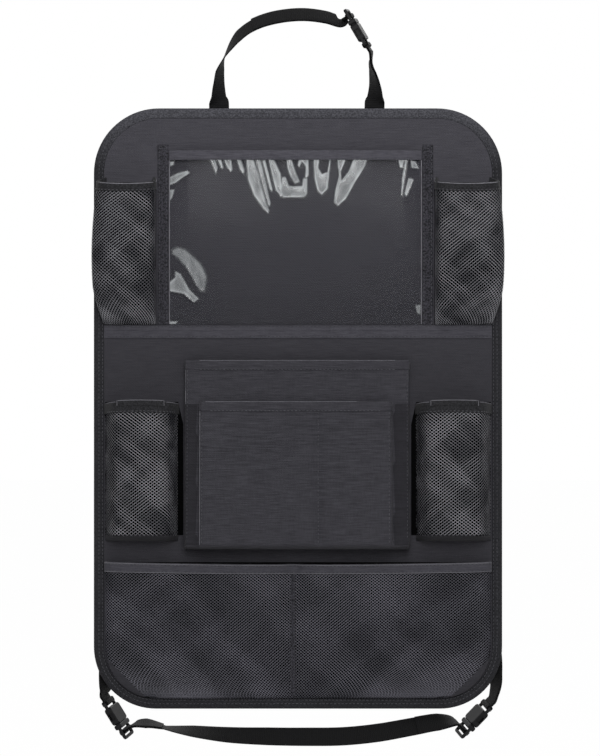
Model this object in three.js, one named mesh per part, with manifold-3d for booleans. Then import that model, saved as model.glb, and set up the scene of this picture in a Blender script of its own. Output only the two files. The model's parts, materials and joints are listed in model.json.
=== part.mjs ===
// A car seat back organizer: a flat fabric mat that hangs behind a car seat, with a clear tablet pocket,
// five net pockets, two cloth pockets, a strap with a buckle round the headrest and another round the seat.
// Millimetres. +X is to the right for someone facing the pockets, +Y points at the seat, +Z is up.
// The origin is the centre of the mat's back face.

import * as THREE from "three";
import { mergeVertices } from "three/addons/utils/BufferGeometryUtils.js";
import Module from "manifold-3d";

const wasm = await Module();
wasm.setup();

// Driving sizes. A drop is measured down from the mat's top edge, an offset sideways from its middle,
// and a depth out from the mat's front face.
const gap = 0.3; // left between pieces that lie on each other or are sewn together
const mat = { width: 408, height: 600, thickness: 3, rim: 1.4, topCorner: 65, bottomCorner: 62 };
const binding = { cover: 10, wall: 0.5, bevel: 0.8 };
const tape = { width: 10.8, thickness: 0.8, above: 6, crossHeight: 13 };
const hem = { wall: 0.8 };
const tablet = {
  drop: 42.5, width: 253, height: 174, offset: -2.6,
  footDepth: 3, depth: 8, ease: 30, film: 0.5, hem: 9.5,
};
const upperNet = { drop: 74, depth: 30, baseDepth: 8, thickness: 1, hem: 8, bulge: 13, foot: 22, side: 6 };
const largePocket = { drop: 252.5, height: 188, width: 224.5, offset: -0.8, mouthDepth: 10, baseDepth: 23 };
const frontPocket = { drop: 293.5, height: 144, width: 193, offset: -2.5, depth: 9, dividerOffset: 20 };
const cloth = { thickness: 1.2, fold: 0.6, foldHeight: 9 };
const sideNet = {
  drop: 293.5, height: 139, depth: 24, baseDepth: 8, thickness: 1,
  hem: 10, spacing: 5.5, gusset: 6, side: 16,
};
const lowerNet = {
  drop: 453.5, mouthDepth: 15, baseDepth: 6, thickness: 1, hem: 9,
  seamOffset: -5.5, seamWidth: 5.5, seamEase: 2.3, seamSide: 16, side: 36, foot: 18,
};
const diamond = { spacing: 13, lowerSpacing: 16.5, across: 0.38, along: 0.72, edge: 5 };
const webbing = { width: 20, thickness: 1.3, overlap: 0.05, stem: 3 };
const buckle = { side: 2, thickness: 8, frame: 3.2, corner: 2.5, bevel: 0.6, wall: 1.5, slotPlay: 1 };
const socket = { bar: 2.4, slot: 4, housing: 18.4, window: 7, backWall: 2 };
const clip = {
  base: 5, slot: 3.5, bar: 2, endBar: 3, prong: 14,
  prongWidth: 3.4, prongHeight: 4, guide: 11.2, play: 0.4,
};

const top = mat.height / 2;
const side = mat.width / 2;
const front = -mat.thickness; // Y of the mat's front face
const face = front - gap; // Y where a piece that lies on the mat begins
const inner = side - binding.cover - gap; // half the width left between the two sides' binding
const hemReach = gap + hem.wall; // how far a hem stands out from its pocket's wall
const beyond = 60; // how far a cutting solid runs past what it cuts

// Materials
const matt = (color, roughness) => new THREE.MeshStandardMaterial({ color, roughness, metalness: 0 });
const oxford = matt(0x3c3b40, 0.85);
const trim = matt(0x434247, 0.8);
const netting = matt(0x55545a, 0.7);
const strapping = matt(0x1d1d1e, 0.75);
const plastic = matt(0x151516, 0.45);
const film = matt(0x8f9496, 0.12);
film.transparent = true;
film.opacity = 0.35;

const organizer = new THREE.Group();

function addPiece(name, geometry, material, parent = organizer) {
  const mesh = new THREE.Mesh(geometry, material);
  mesh.name = name;
  parent.add(mesh);
}

// Solids and booleans
function toSolid(geometry) {
  const bare = geometry.index ? geometry.toNonIndexed() : geometry.clone();
  bare.deleteAttribute("normal");
  bare.deleteAttribute("uv");
  const merged = mergeVertices(bare, 1e-4);
  const vertProperties = new Float32Array(merged.attributes.position.array);
  const triVerts = new Uint32Array(merged.index.array);
  return new wasm.Manifold(new wasm.Mesh({ numProp: 3, vertProperties, triVerts }));
}

function toGeometry(solid) {
  const { vertProperties, triVerts } = solid.getMesh();
  return new THREE.BufferGeometry()
    .setAttribute("position", new THREE.BufferAttribute(vertProperties, 3))
    .setIndex(new THREE.BufferAttribute(triVerts, 1));
}

const join = (solids) => solids.reduce((all, next) => all.add(next));

const block = (x0, x1, y0, y1, z0, z1) =>
  new THREE.BoxGeometry(x1 - x0, y1 - y0, z1 - z0).translate((x0 + x1) / 2, (y0 + y1) / 2, (z0 + z1) / 2);

// A shape drawn in the XZ plane, thickened towards the front from y = back.
const plate = (shape, back, thickness, curveSegments = 6) =>
  new THREE.ExtrudeGeometry(shape, { depth: thickness, bevelEnabled: false, curveSegments })
    .rotateX(Math.PI / 2)
    .translate(0, back, 0);

// A closed skin over rings of points, each ring anticlockwise seen from where the rings go.
function skin(rings, isLoop = false) {
  const size = rings[0].length;
  const faces = [];
  for (let i = 0; i < rings.length - (isLoop ? 0 : 1); i++) {
    const here = i * size;
    const next = ((i + 1) % rings.length) * size;
    for (let k = 0; k < size; k++) {
      const after = (k + 1) % size;
      faces.push(here + k, here + after, next + after, here + k, next + after, next + k);
    }
  }
  if (!isLoop) {
    faces.push(...capFaces(rings[0], 0).reverse());
    faces.push(...capFaces(rings.at(-1), size * (rings.length - 1)));
  }
  return new THREE.BufferGeometry().setFromPoints(rings.flat()).setIndex(faces);
}

// Triangles that close a ring, with the ring laid flat on its own mean plane first.
function capFaces(ring, start) {
  const middle = ring.reduce((sum, p) => sum.add(p), new THREE.Vector3()).divideScalar(ring.length);
  const normal = new THREE.Vector3();
  ring.forEach((p, k) => {
    const after = ring[(k + 1) % ring.length];
    normal.add(p.clone().sub(middle).cross(after.clone().sub(middle)));
  });
  const turn = new THREE.Quaternion().setFromUnitVectors(normal.normalize(), new THREE.Vector3(0, 0, 1));
  const flat = ring.map((p) => {
    const { x, y } = p.clone().sub(middle).applyQuaternion(turn);
    return new THREE.Vector2(x, y);
  });
  return THREE.ShapeUtils.triangulateShape(flat, []).flat().map((k) => start + k);
}

// The mat and its binding

// The mat's outline, drawn inset from its edge.
function matOutline(inset) {
  const [w, h] = [side - inset, top - inset];
  const [rt, rb] = [mat.topCorner - inset, mat.bottomCorner - inset];
  const shape = new THREE.Shape();
  shape.absarc(w - rt, h - rt, rt, 0, Math.PI / 2);
  shape.absarc(-w + rt, h - rt, rt, Math.PI / 2, Math.PI);
  shape.absarc(-w + rb, -h + rb, rb, Math.PI, 1.5 * Math.PI);
  shape.absarc(w - rb, -h + rb, rb, 1.5 * Math.PI, 2 * Math.PI);
  shape.closePath();
  return shape;
}

function makeMat() {
  const core = plate(matOutline(binding.cover + gap), 0, mat.thickness);
  const rimBack = -(mat.thickness - mat.rim) / 2; // the edge is squeezed thin under the binding
  const rim = plate(matOutline(binding.wall + gap), rimBack, mat.rim);
  addPiece("main_mat", toGeometry(toSolid(core).add(toSolid(rim))), oxford);
}

// A tape folded round the mat's edge: a U section carried round the outline, flush with both faces.
function makeBinding() {
  const { cover, wall, bevel } = binding;
  const depth = mat.thickness;
  const section = [
    [-cover, 0], [-cover, -wall], [-wall, -wall], [-wall, wall - depth], [-cover, wall - depth],
    [-cover, -depth], [-bevel, -depth], [0, bevel - depth], [0, -bevel], [-bevel, 0],
  ];
  const outline = matOutline(0).getPoints(6);
  const corners = outline.filter((p, i) => p.distanceTo(outline.at(i - 1)) > 1e-6);
  const rings = corners.map((p, i) => {
    const along = corners[(i + 1) % corners.length].clone().sub(corners.at(i - 1)).normalize();
    return section.map(([out, y]) => new THREE.Vector3(p.x + along.y * out, y, p.y - along.x * out));
  });
  addPiece("edge_binding", skin(rings, true), trim);
}

// Flat tapes sewn on the mat
const tabletLeft = tablet.offset - tablet.width / 2;
const tabletRight = tablet.offset + tablet.width / 2;
const tabletTop = top - tablet.drop;
const crossTop = tabletTop - tablet.height - gap;

function makeTapes() {
  const [near, far] = [face - tape.thickness, face];
  const low = crossTop + gap;
  const high = tabletTop + tape.above;
  const left = tabletLeft - gap;
  const right = tabletRight + gap;
  addPiece("tablet_tape_left", block(left - tape.width, left, near, far, low, high), trim);
  addPiece("tablet_tape_right", block(right, right + tape.width, near, far, low, high), trim);
  addPiece("cross_tape", block(-inner, inner, near, far, crossTop - tape.crossHeight, crossTop), trim);
}

// Pockets. Each has a profile, the plan of its outer face as shares of its width and depth from its left
// seam to its right one, and at(z), which gives the span, the depth and where it is sewn on at a height,
// and the share of its full size at which a bulge past its seams stands there.

const behind = 5; // how far a pocket's solid runs back before it is cut off at the mat

// The ring of a pocket at one height, grown outwards by an amount or shrunk where that is below nothing.
function pocketRing(pocket, z, grow) {
  const { x0, x1, depth, base = face, swell = 1 } = pocket.at(z);
  const plan = pocket.profile.map(([u, v]) => {
    const within = THREE.MathUtils.clamp(u, 0, 1);
    return new THREE.Vector2(x0 + (x1 - x0) * (within + (u - within) * swell), -depth * v);
  });
  plan.unshift(new THREE.Vector2(plan[0].x, behind));
  plan.push(new THREE.Vector2(plan.at(-1).x, behind));
  const normalOf = (a, b) => new THREE.Vector2(b.y - a.y, a.x - b.x).normalize();
  return plan.map((p, i) => {
    const before = normalOf(plan[Math.max(i - 1, 0)], plan[Math.max(i, 1)]);
    const after = normalOf(plan[Math.min(i, plan.length - 2)], plan[Math.min(i + 1, plan.length - 1)]);
    const miter = before.clone().add(after).divideScalar(1 + before.dot(after));
    return new THREE.Vector3(p.x + miter.x * grow, base + p.y + miter.y * grow, z);
  });
}

function pocketSolid(pocket, grow, from, to) {
  const between = pocket.heights.filter((z) => z > from + gap && z < to - gap);
  return toSolid(skin([from, ...between, to].map((z) => pocketRing(pocket, z, grow))));
}

// Everything in front of the face that a pocket is sewn on, or of its backing where it has one.
function trimBack(pocket, solid) {
  if (pocket.backing) return solid.subtract(pocket.backing);
  const { low, high } = pocket;
  const back = block(-side - beyond, side + beyond, face, face + beyond, low - beyond, high + beyond);
  return solid.subtract(toSolid(back));
}

const tray = (pocket) =>
  trimBack(
    pocket,
    pocketSolid(pocket, 0, pocket.low, pocket.high).subtract(
      pocketSolid(pocket, -pocket.thickness, pocket.low + pocket.thickness, pocket.high + 1),
    ),
  );

// The tape folded over a pocket's mouth, a gap clear of the pocket's wall all round.
function mouthHem(pocket, height) {
  const { thickness, high } = pocket;
  const band = pocketSolid(pocket, hemReach, high - height, high + hemReach);
  const hollow = pocketSolid(pocket, -thickness - hemReach, high - height - 1, high + hemReach + 1);
  const wall = pocketSolid(pocket, gap, high - height - 1, high + gap);
  const core = pocketSolid(pocket, -thickness - gap, high - height - 2, high + gap + 1);
  return trimBack(pocket, band.subtract(hollow).subtract(wall.subtract(core)));
}

// Diamond gaps cut through a net from the front, in staggered rows.
function netGaps(x0, x1, z0, z1, spacing = diamond.spacing) {
  const columns = Math.max(1, Math.round((x1 - x0) / spacing));
  const rows = Math.max(1, Math.round((z1 - z0) / spacing));
  const [stepX, stepZ] = [(x1 - x0) / columns, (z1 - z0) / rows];
  const [halfX, halfZ] = [stepX * diamond.across, stepZ * diamond.along];
  const gaps = [];
  for (let j = 0; j < rows; j++) {
    for (let i = 0; i < columns - (j % 2); i++) {
      const x = x0 + stepX * (i + (1 + (j % 2)) / 2);
      const z = z0 + stepZ * (j + 0.5);
      const corners = [[x - halfX, z], [x, z - halfZ], [x + halfX, z], [x, z + halfZ]];
      const shape = new THREE.Shape(corners.map(([px, pz]) => new THREE.Vector2(px, pz)));
      gaps.push(toSolid(plate(shape, face, beyond)));
    }
  }
  return wasm.Manifold.union(gaps);
}

const mirrored = (profile) => profile.map(([u, v]) => [1 - u, v]).reverse();
const shareOf = (value, low, high) => THREE.MathUtils.clamp((value - low) / (high - low), 0, 1);
const ease = (value, low, high) => Math.sin((Math.PI / 2) * shareOf(value, low, high));
const steps = (low, high, count) =>
  Array.from({ length: count + 1 }, (_, i) => low + ((high - low) * i) / count);

function makeTabletPocket() {
  const low = crossTop + gap;
  const high = tabletTop - hemReach;
  const full = low + tablet.ease;
  const depthAt = (z) => THREE.MathUtils.lerp(tablet.footDepth, tablet.depth, ease(z, low, full));
  const pocket = {
    low, high, thickness: tablet.film, heights: [...steps(low, full, 4), high],
    profile: [[0, 0.3], [0.03, 0.75], [0.09, 1], [0.91, 1], [0.97, 0.75], [1, 0.3]],
    at: (z) => ({ x0: tabletLeft + hemReach, x1: tabletRight - hemReach, depth: depthAt(z) }),
  };
  addPiece("tablet_window", toGeometry(tray(pocket)), film);
  addPiece("tablet_hem", toGeometry(mouthHem(pocket, tablet.hem - hemReach)), trim);
}

// The left one bulges past the mat's edge. The right one is its mirror image.
function makeUpperNets() {
  const low = crossTop + gap;
  const high = top - upperNet.drop;
  const seamLeft = tabletLeft - 2 * gap - tape.width;
  const seamRight = tabletRight + 2 * gap + tape.width;
  const rise = (z) => {
    const share = ease(z, low, low + (high - low) * 0.6);
    return THREE.MathUtils.lerp(upperNet.baseDepth, upperNet.depth, share);
  };
  const nets = { left: [-inner, seamLeft - hemReach], right: [seamRight + hemReach, inner] };
  for (const [name, [x0, x1]] of Object.entries(nets)) {
    const bulge = upperNet.bulge / (x1 - x0);
    const plan = [
      [0.02, 0], [-bulge * 0.7, 0.25], [-bulge, 0.55], [-bulge * 0.3, 0.85],
      [0.16, 1], [0.8, 1], [0.95, 0.9], [1, 0.5], [0.97, 0],
    ];
    const pocket = {
      low, high, thickness: upperNet.thickness, heights: steps(low, high, 7),
      profile: name === "left" ? plan : mirrored(plan),
      at: (z) => ({ x0, x1, depth: rise(z), swell: (rise(z) / upperNet.depth) ** 2 }),
    };
    const [from, to] = [low + upperNet.foot, high - upperNet.hem - diamond.edge];
    const gaps = netGaps(x0 + upperNet.side, x1 - upperNet.side, from, to);
    addPiece(`upper_net_${name}`, toGeometry(tray(pocket).subtract(gaps)), netting);
    addPiece(`upper_hem_${name}`, toGeometry(mouthHem(pocket, upperNet.hem)), trim);
  }
}

// The two cloth pockets, the smaller one sewn on the front of the larger one
const boxProfile = [
  [0.03, 0], [0.005, 0.45], [0, 0.85], [0.02, 1], [0.98, 1], [1, 0.85], [0.995, 0.45], [0.97, 0],
];

function foldedTray(pocket) {
  const { high, thickness } = pocket;
  const start = high - cloth.foldHeight;
  const edge = pocketSolid(pocket, cloth.fold, start, high);
  const bore = pocketSolid(pocket, -thickness / 2, start - 1, high + 1);
  return tray(pocket).add(trimBack(pocket, edge.subtract(bore)));
}

function makeClothPockets() {
  const high = top - largePocket.drop;
  const low = high - largePocket.height;
  const span = (width, offset) => ({ x0: offset - width / 2, x1: offset + width / 2 });
  const slope = (largePocket.baseDepth - largePocket.mouthDepth) / (high - low);
  const lean = (z) => largePocket.baseDepth - slope * (z - low);
  const large = {
    low, high, thickness: cloth.thickness, heights: [], profile: boxProfile,
    at: (z) => ({ ...span(largePocket.width, largePocket.offset), depth: lean(z) }),
  };
  addPiece("large_pocket", toGeometry(foldedTray(large)), oxford);

  const frontHigh = top - frontPocket.drop;
  const divider = 0.5 + (frontPocket.dividerOffset - frontPocket.offset) / frontPocket.width;
  const profile = [
    [0.01, 0], [0, 0.6], [0.015, 1], [divider - 0.03, 1], [divider - 0.01, 0.45],
    [divider + 0.01, 0.45], [divider + 0.03, 1], [0.985, 1], [1, 0.6], [0.99, 0],
  ];
  const small = {
    low: frontHigh - frontPocket.height, high: frontHigh, thickness: cloth.thickness, heights: [], profile,
    at: (z) => ({
      ...span(frontPocket.width, frontPocket.offset), depth: frontPocket.depth, base: face - lean(z) - gap,
    }),
    backing: pocketSolid(large, gap, low - beyond, high + beyond),
  };
  addPiece("front_pocket", toGeometry(foldedTray(small)), oxford);
}

// Box-shaped net pockets beside the cloth ones, each closed below by a cloth gusset
function makeSideNets() {
  const high = top - sideNet.drop;
  const low = high - sideNet.height;
  const split = low + sideNet.gusset;
  const reach = largePocket.width / 2 + sideNet.spacing;
  const nets = { left: [-inner, largePocket.offset - reach], right: [largePocket.offset + reach, inner] };
  const profile = [[0, 0], [0.07, 0.5], [0.2, 0.95], [0.25, 1], [0.75, 1], [0.8, 0.95], [0.93, 0.5], [1, 0]];
  for (const [name, [left, right]] of Object.entries(nets)) {
    const [x0, x1] = [left + hemReach, right - hemReach];
    const pocket = {
      low, high, thickness: sideNet.thickness, heights: [split], profile,
      at: (z) => {
        const depth = THREE.MathUtils.lerp(sideNet.baseDepth, sideNet.depth, shareOf(z, low, split));
        return { x0, x1, depth };
      },
    };
    const whole = tray(pocket);
    const within = (z0, z1) => toSolid(block(x0 - beyond, x1 + beyond, -beyond, 0, z0, z1));
    const above = within(split + gap, high + beyond);
    const below = within(low - beyond, split);
    const [from, to] = [split + diamond.edge, high - sideNet.hem - diamond.edge];
    const gaps = netGaps(x0 + sideNet.side, x1 - sideNet.side, from, to);
    addPiece(`side_net_${name}`, toGeometry(whole.intersect(above).subtract(gaps)), netting);
    addPiece(`side_gusset_${name}`, toGeometry(whole.intersect(below)), oxford);
    addPiece(`side_hem_${name}`, toGeometry(mouthHem(pocket, sideNet.hem)), trim);
  }
}

// The wide pocket along the bottom, which follows the mat's round corners and is sewn down at its middle
function makeLowerNet() {
  const high = top - lowerNet.drop;
  const radius = mat.bottomCorner - binding.cover - gap;
  const turn = mat.bottomCorner - top; // height where the corners begin
  const low = turn - radius;
  const halfAt = (z) => {
    const down = THREE.MathUtils.clamp(turn - z, 0, radius);
    return inner - radius + Math.sqrt(radius ** 2 - down ** 2) - hemReach;
  };
  const { baseDepth, mouthDepth, seamOffset, seamWidth } = lowerNet;
  const depthAt = (z) => THREE.MathUtils.lerp(baseDepth, mouthDepth, shareOf(z, low, high));
  const seam = 0.5 + seamOffset / (2 * inner);
  const half = (seamWidth / 2 + lowerNet.seamEase) / (2 * inner);
  const profile = [
    [0, 0.3], [0.03, 0.8], [0.1, 1], [seam - 0.1, 1], [seam - 0.03, 0.7], [seam - half, 0.35],
    [seam + half, 0.35], [seam + 0.03, 0.7], [seam + 0.1, 1], [0.9, 1], [0.97, 0.8], [1, 0.3],
  ];
  const angles = [75, 60, 45, 30, 15].map((angle) => THREE.MathUtils.degToRad(angle));
  const heights = angles.map((angle) => turn - radius * Math.sin(angle));
  const pocket = {
    low, high, thickness: lowerNet.thickness, heights: [...heights, turn], profile,
    at: (z) => ({ x0: -halfAt(z), x1: halfAt(z), depth: depthAt(z) }),
  };
  const [from, to] = [low + lowerNet.foot, high - lowerNet.hem - diamond.edge];
  const outer = inner - lowerNet.side;
  const left = netGaps(-outer, seamOffset - lowerNet.seamSide, from, to, diamond.lowerSpacing);
  const right = netGaps(seamOffset + lowerNet.seamSide, outer, from, to, diamond.lowerSpacing);
  addPiece("lower_net", toGeometry(tray(pocket).subtract(left).subtract(right)), netting);
  addPiece("lower_hem", toGeometry(mouthHem(pocket, lowerNet.hem)), trim);

  const seamTop = high - lowerNet.hem - gap;
  const wall = pocketSolid(pocket, gap, low - 1, seamTop + 1);
  const cover = pocketSolid(pocket, hemReach, low, seamTop).subtract(wall);
  const strip = block(seamOffset - seamWidth / 2, seamOffset + seamWidth / 2, -beyond, face, low, seamTop);
  addPiece("lower_seam", toGeometry(cover.intersect(toSolid(strip))), trim);
}

// Buckles. In a buckle's own frame +Z is the way that the clip pulls out, X runs across the webbing and
// +Y is the side on which the webbing leaves the clip. The origin is the outer edge of the socket's bar.

// A block with round corners seen along Y, and its edges taken off.
function roundedBlock(width, thickness, z0, z1, radius) {
  const { bevel } = buckle;
  const [w, h] = [width / 2 - bevel, (z1 - z0) / 2 - bevel];
  const shape = new THREE.Shape();
  shape.absarc(w - radius, h - radius, radius, 0, Math.PI / 2);
  shape.absarc(-w + radius, h - radius, radius, Math.PI / 2, Math.PI);
  shape.absarc(-w + radius, -h + radius, radius, Math.PI, 1.5 * Math.PI);
  shape.absarc(w - radius, -h + radius, radius, 1.5 * Math.PI, 2 * Math.PI);
  const depth = thickness - 2 * bevel;
  const options = { depth, bevelSize: bevel, bevelThickness: bevel, bevelSegments: 1, curveSegments: 3 };
  return new THREE.ExtrudeGeometry(shape, options)
    .translate(0, 0, -depth / 2)
    .rotateX(Math.PI / 2)
    .translate(0, 0, (z0 + z1) / 2);
}

const centred = (width, thickness, z0, z1) =>
  block(-width / 2, width / 2, -thickness / 2, thickness / 2, z0, z1);

const housingStart = socket.bar + socket.slot;
const mouth = housingStart + socket.housing;
const clipStart = mouth + gap;
const slotStart = clipStart + clip.base;
const barStart = slotStart + clip.slot;
const clipEnd = barStart + clip.bar + clip.slot + clip.endBar;
const slotWidth = webbing.width + buckle.slotPlay;
const buckleWidth = slotWidth + 2 * buckle.side;
const cavity = { width: buckleWidth - 2 * buckle.wall, height: clip.prongHeight + 2 * clip.play };

function makeSocket() {
  const { thickness, frame, corner } = buckle;
  const body = join([
    toSolid(roundedBlock(buckleWidth, thickness, housingStart, mouth, corner)),
    toSolid(roundedBlock(buckleWidth, frame, 0, housingStart + corner * 2, corner)),
  ]);
  const windowStart = (housingStart + mouth - socket.window) / 2;
  const windowEnd = windowStart + socket.window;
  return toGeometry(
    body
      .subtract(toSolid(centred(slotWidth, thickness + 2, socket.bar, housingStart)))
      .subtract(toSolid(centred(cavity.width, cavity.height, housingStart + socket.backWall, mouth + 1)))
      .subtract(toSolid(centred(buckleWidth + 2, cavity.height, windowStart, windowEnd))),
  );
}

function makeClip() {
  const { thickness, frame, corner } = buckle;
  const { prong, prongWidth, prongHeight, guide } = clip;
  const reach = cavity.width / 2 - clip.play;
  const root = clipStart + clip.base / 2;
  const arm = (x0, x1, length) =>
    toSolid(block(x0, x1, -prongHeight / 2, prongHeight / 2, clipStart - length, root));
  const body = join([
    toSolid(roundedBlock(buckleWidth, thickness, clipStart, slotStart, corner - 1)),
    toSolid(roundedBlock(buckleWidth, frame, clipStart + 1, clipEnd, corner)),
    arm(-reach, -reach + prongWidth, prong),
    arm(reach - prongWidth, reach, prong),
    arm(-prongWidth / 2, prongWidth / 2, guide),
  ]);
  return toGeometry(
    body
      .subtract(toSolid(centred(slotWidth, thickness + 2, slotStart, barStart)))
      .subtract(toSolid(centred(slotWidth, thickness + 2, barStart + clip.bar, clipEnd - clip.endBar))),
  );
}

// Webbing

// The turn of webbing round a bar, both layers leaving it as a stem along the given direction.
function webbingTurn(z0, z1, stem) {
  const out = gap + webbing.thickness;
  const around = (by, width) => toSolid(centred(width, buckle.frame + 2 * by, z0 - by, z1 + by));
  const middle = (z0 + z1) / 2;
  const t = webbing.thickness + webbing.overlap;
  const half = webbing.width / 2 + webbing.overlap;
  const y = buckle.frame / 2;
  const leaving =
    stem === "along"
      ? block(-half, half, -t, t, z0 - out - webbing.stem, z0 - gap)
      : block(-half, half, y + gap, y + out + webbing.stem, middle - t, middle + t);
  return around(out, webbing.width).add(toSolid(leaving)).subtract(around(gap, webbing.width + 1));
}

// Where each buckle lies: the outer edge of its socket's bar, the way the clip pulls out, and the way
// that its width runs, which is made square to the pull.
const buckles = {
  headrest: { at: [69, -14, top + 61], pull: [-0.507, 0, 0.862], across: [0.15, 0.98, 0.09] },
  seat_left: { at: [13 - side, 9, 7 - top], pull: [0.525, 0, -0.851], across: [0.26, 0.95, 0.16] },
  seat_right: { at: [side - 14, 9, 3 - top], pull: [-0.694, 0, -0.72], across: [0.22, -0.95, -0.21] },
};

function frameOf({ at, pull, across }) {
  const along = new THREE.Vector3(...pull).normalize();
  const wide = new THREE.Vector3(...across);
  wide.addScaledVector(along, -wide.dot(along)).normalize();
  return new THREE.Matrix4().makeBasis(wide, along.clone().cross(wide), along).setPosition(...at);
}

const inFrame = (matrix, x, y, z) => new THREE.Vector3(x, y, z).applyMatrix4(matrix);
const widthOf = (matrix) => new THREE.Vector3().setFromMatrixColumn(matrix, 0);

// The end of a turn's stem, as two stations that lead a ribbon into it.
function stemStations(matrix, stem, lead) {
  const inside = 0.5;
  const end = gap + webbing.thickness + webbing.stem - inside;
  const middle = barStart + clip.bar / 2;
  const aside = buckle.frame / 2 + end;
  const at = (by) =>
    stem === "along" ? inFrame(matrix, 0, 0, -end - by) : inFrame(matrix, 0, aside + by, middle);
  return [0, lead].map((by) => ({ p: at(by), w: widthOf(matrix) }));
}

// A ribbon through stations, each a point and the way that its width runs there. It lies between t0 and
// t1 to the side of the line through the points, over a share of the line's steps.
function ribbon(stations, t0, t1, count, from = 0, to = 1) {
  const curve = new THREE.CatmullRomCurve3(stations.map(({ p }) => p), false, "centripetal");
  const half = webbing.width / 2;
  const shares = steps(0, 1, count).filter((share) => share >= from && share <= to);
  const rings = shares.map((share) => {
    const place = share * (stations.length - 1);
    const i = Math.min(Math.floor(place), stations.length - 2);
    const along = curve.getTangent(share);
    const wide = stations[i].w.clone().lerp(stations[i + 1].w, place - i);
    wide.addScaledVector(along, -wide.dot(along)).normalize();
    const up = along.clone().cross(wide);
    const corner = (s, t) => curve.getPoint(share).addScaledVector(wide, s).addScaledVector(up, t);
    return [corner(-half, t0), corner(half, t0), corner(half, t1), corner(-half, t1)];
  });
  return toSolid(skin(rings));
}

const station = ([x, y, z], [wx, wy, wz]) => ({
  p: new THREE.Vector3(x, y, z),
  w: new THREE.Vector3(wx, wy, wz),
});

function turnAt(matrix, stem) {
  const [z0, z1] = stem === "along" ? [0, socket.bar] : [barStart, barStart + clip.bar];
  return toSolid(toGeometry(webbingTurn(z0, z1, stem)).applyMatrix4(matrix));
}

// The webbing's roots lie behind the binding, flat on the mat's back.
const layer = webbing.thickness;
const rootY = gap + layer;
const rootLow = top - binding.cover + gap;

function makeHeadrestStrap(matrix) {
  const stations = [
    station([-79, rootY, rootLow], [1, 0, 0]),
    station([-79, rootY, top + 4], [1, 0, 0]),
    station([-79.6, rootY - 1, top + 12], [0.72, 0.69, 0]),
    station([-79.5, 0, top + 26], [0.5, 0.86, 0]),
    station([-78.5, -3, top + 38], [0.35, 0.94, 0]),
    station([-75.5, -6, top + 48], [0, 1, 0]),
    station([-68, -10, top + 61], [-0.2, 0.9, 0.25]),
    station([-59, -14, top + 72], [-0.35, 0.8, 0.4]),
    station([-45, -18, top + 81.5], [-0.2, 0.76, 0.6]),
    station([-24, -20, top + 88.5], [-0.1, 0.74, 0.67]),
    station([4, -21, top + 91.5], [0, 0.74, 0.67]),
    station([28, -19, top + 89], [0.05, 0.76, 0.65]),
    station([39, -16, top + 85.5], [0.1, 0.84, 0.5]),
    ...stemStations(matrix, "aside", 2).reverse(),
  ];
  const count = 52;
  const tailStation = 8; // where the end that is threaded back begins to double the webbing
  const tailStart = tailStation / (stations.length - 1);
  const pieces = [
    ribbon(stations, -layer, 0, count, 0, tailStart + 1 / count),
    ribbon(stations, -layer - webbing.overlap, layer, count, tailStart, 1),
    turnAt(matrix, "aside"),
  ];
  addPiece("headrest_strap", toGeometry(join(pieces)), strapping);
}

function makeTab(name, matrix, points) {
  const stations = [...points.map(([p, w]) => station(p, w)), ...stemStations(matrix, "along", 3).reverse()];
  const pieces = [ribbon(stations, -layer, layer, 24), turnAt(matrix, "along")];
  addPiece(`strap_tab_${name}`, toGeometry(join(pieces)), strapping);
}

function makeSeatStrap(leftMatrix, rightMatrix) {
  const rightEnd = stemStations(rightMatrix, "aside", 6).map(({ p, w }) => ({ p, w: w.negate() }));
  const stations = [
    ...stemStations(leftMatrix, "aside", 6),
    station([-0.745 * side, 6, -top - 15.5], [0, 0.95, 0.3]),
    station([-0.652 * side, 5, -top - 19], [0, 1, 0.06]),
    station([-0.515 * side, 3, -top - 22.5], [0, 0.85, 0.45]),
    station([-0.343 * side, 1, -top - 26], [0, 0.7, 0.7]),
    station([-0.147 * side, 0, -top - 27.5], [0, 0.55, 0.83]),
    station([0.049 * side, 0, -top - 28], [0, 0.5, 0.87]),
    station([0.221 * side, 0, -top - 27.5], [0, 0.5, 0.87]),
    station([0.392 * side, 0, -top - 24], [0, 0.5, 0.87]),
    station([0.564 * side, 2, -top - 18], [0, 0.55, 0.83]),
    station([0.686 * side, 4, -top - 14], [0, 0.65, 0.76]),
    ...rightEnd.reverse(),
  ];
  const count = 60;
  const [leftStation, rightStation] = [3, 2]; // how many stations from each end the webbing is doubled
  const leftTail = leftStation / (stations.length - 1);
  const rightTail = 1 - rightStation / (stations.length - 1);
  const pieces = [
    ribbon(stations, -layer, 0, count, leftTail - 1 / count, rightTail + 1 / count),
    ribbon(stations, -layer - webbing.overlap, layer, count, 0, leftTail),
    ribbon(stations, -layer - webbing.overlap, layer, count, rightTail, 1),
    turnAt(leftMatrix, "aside"),
    turnAt(rightMatrix, "aside"),
  ];
  addPiece("seat_strap", toGeometry(join(pieces)), strapping);
}

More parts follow.
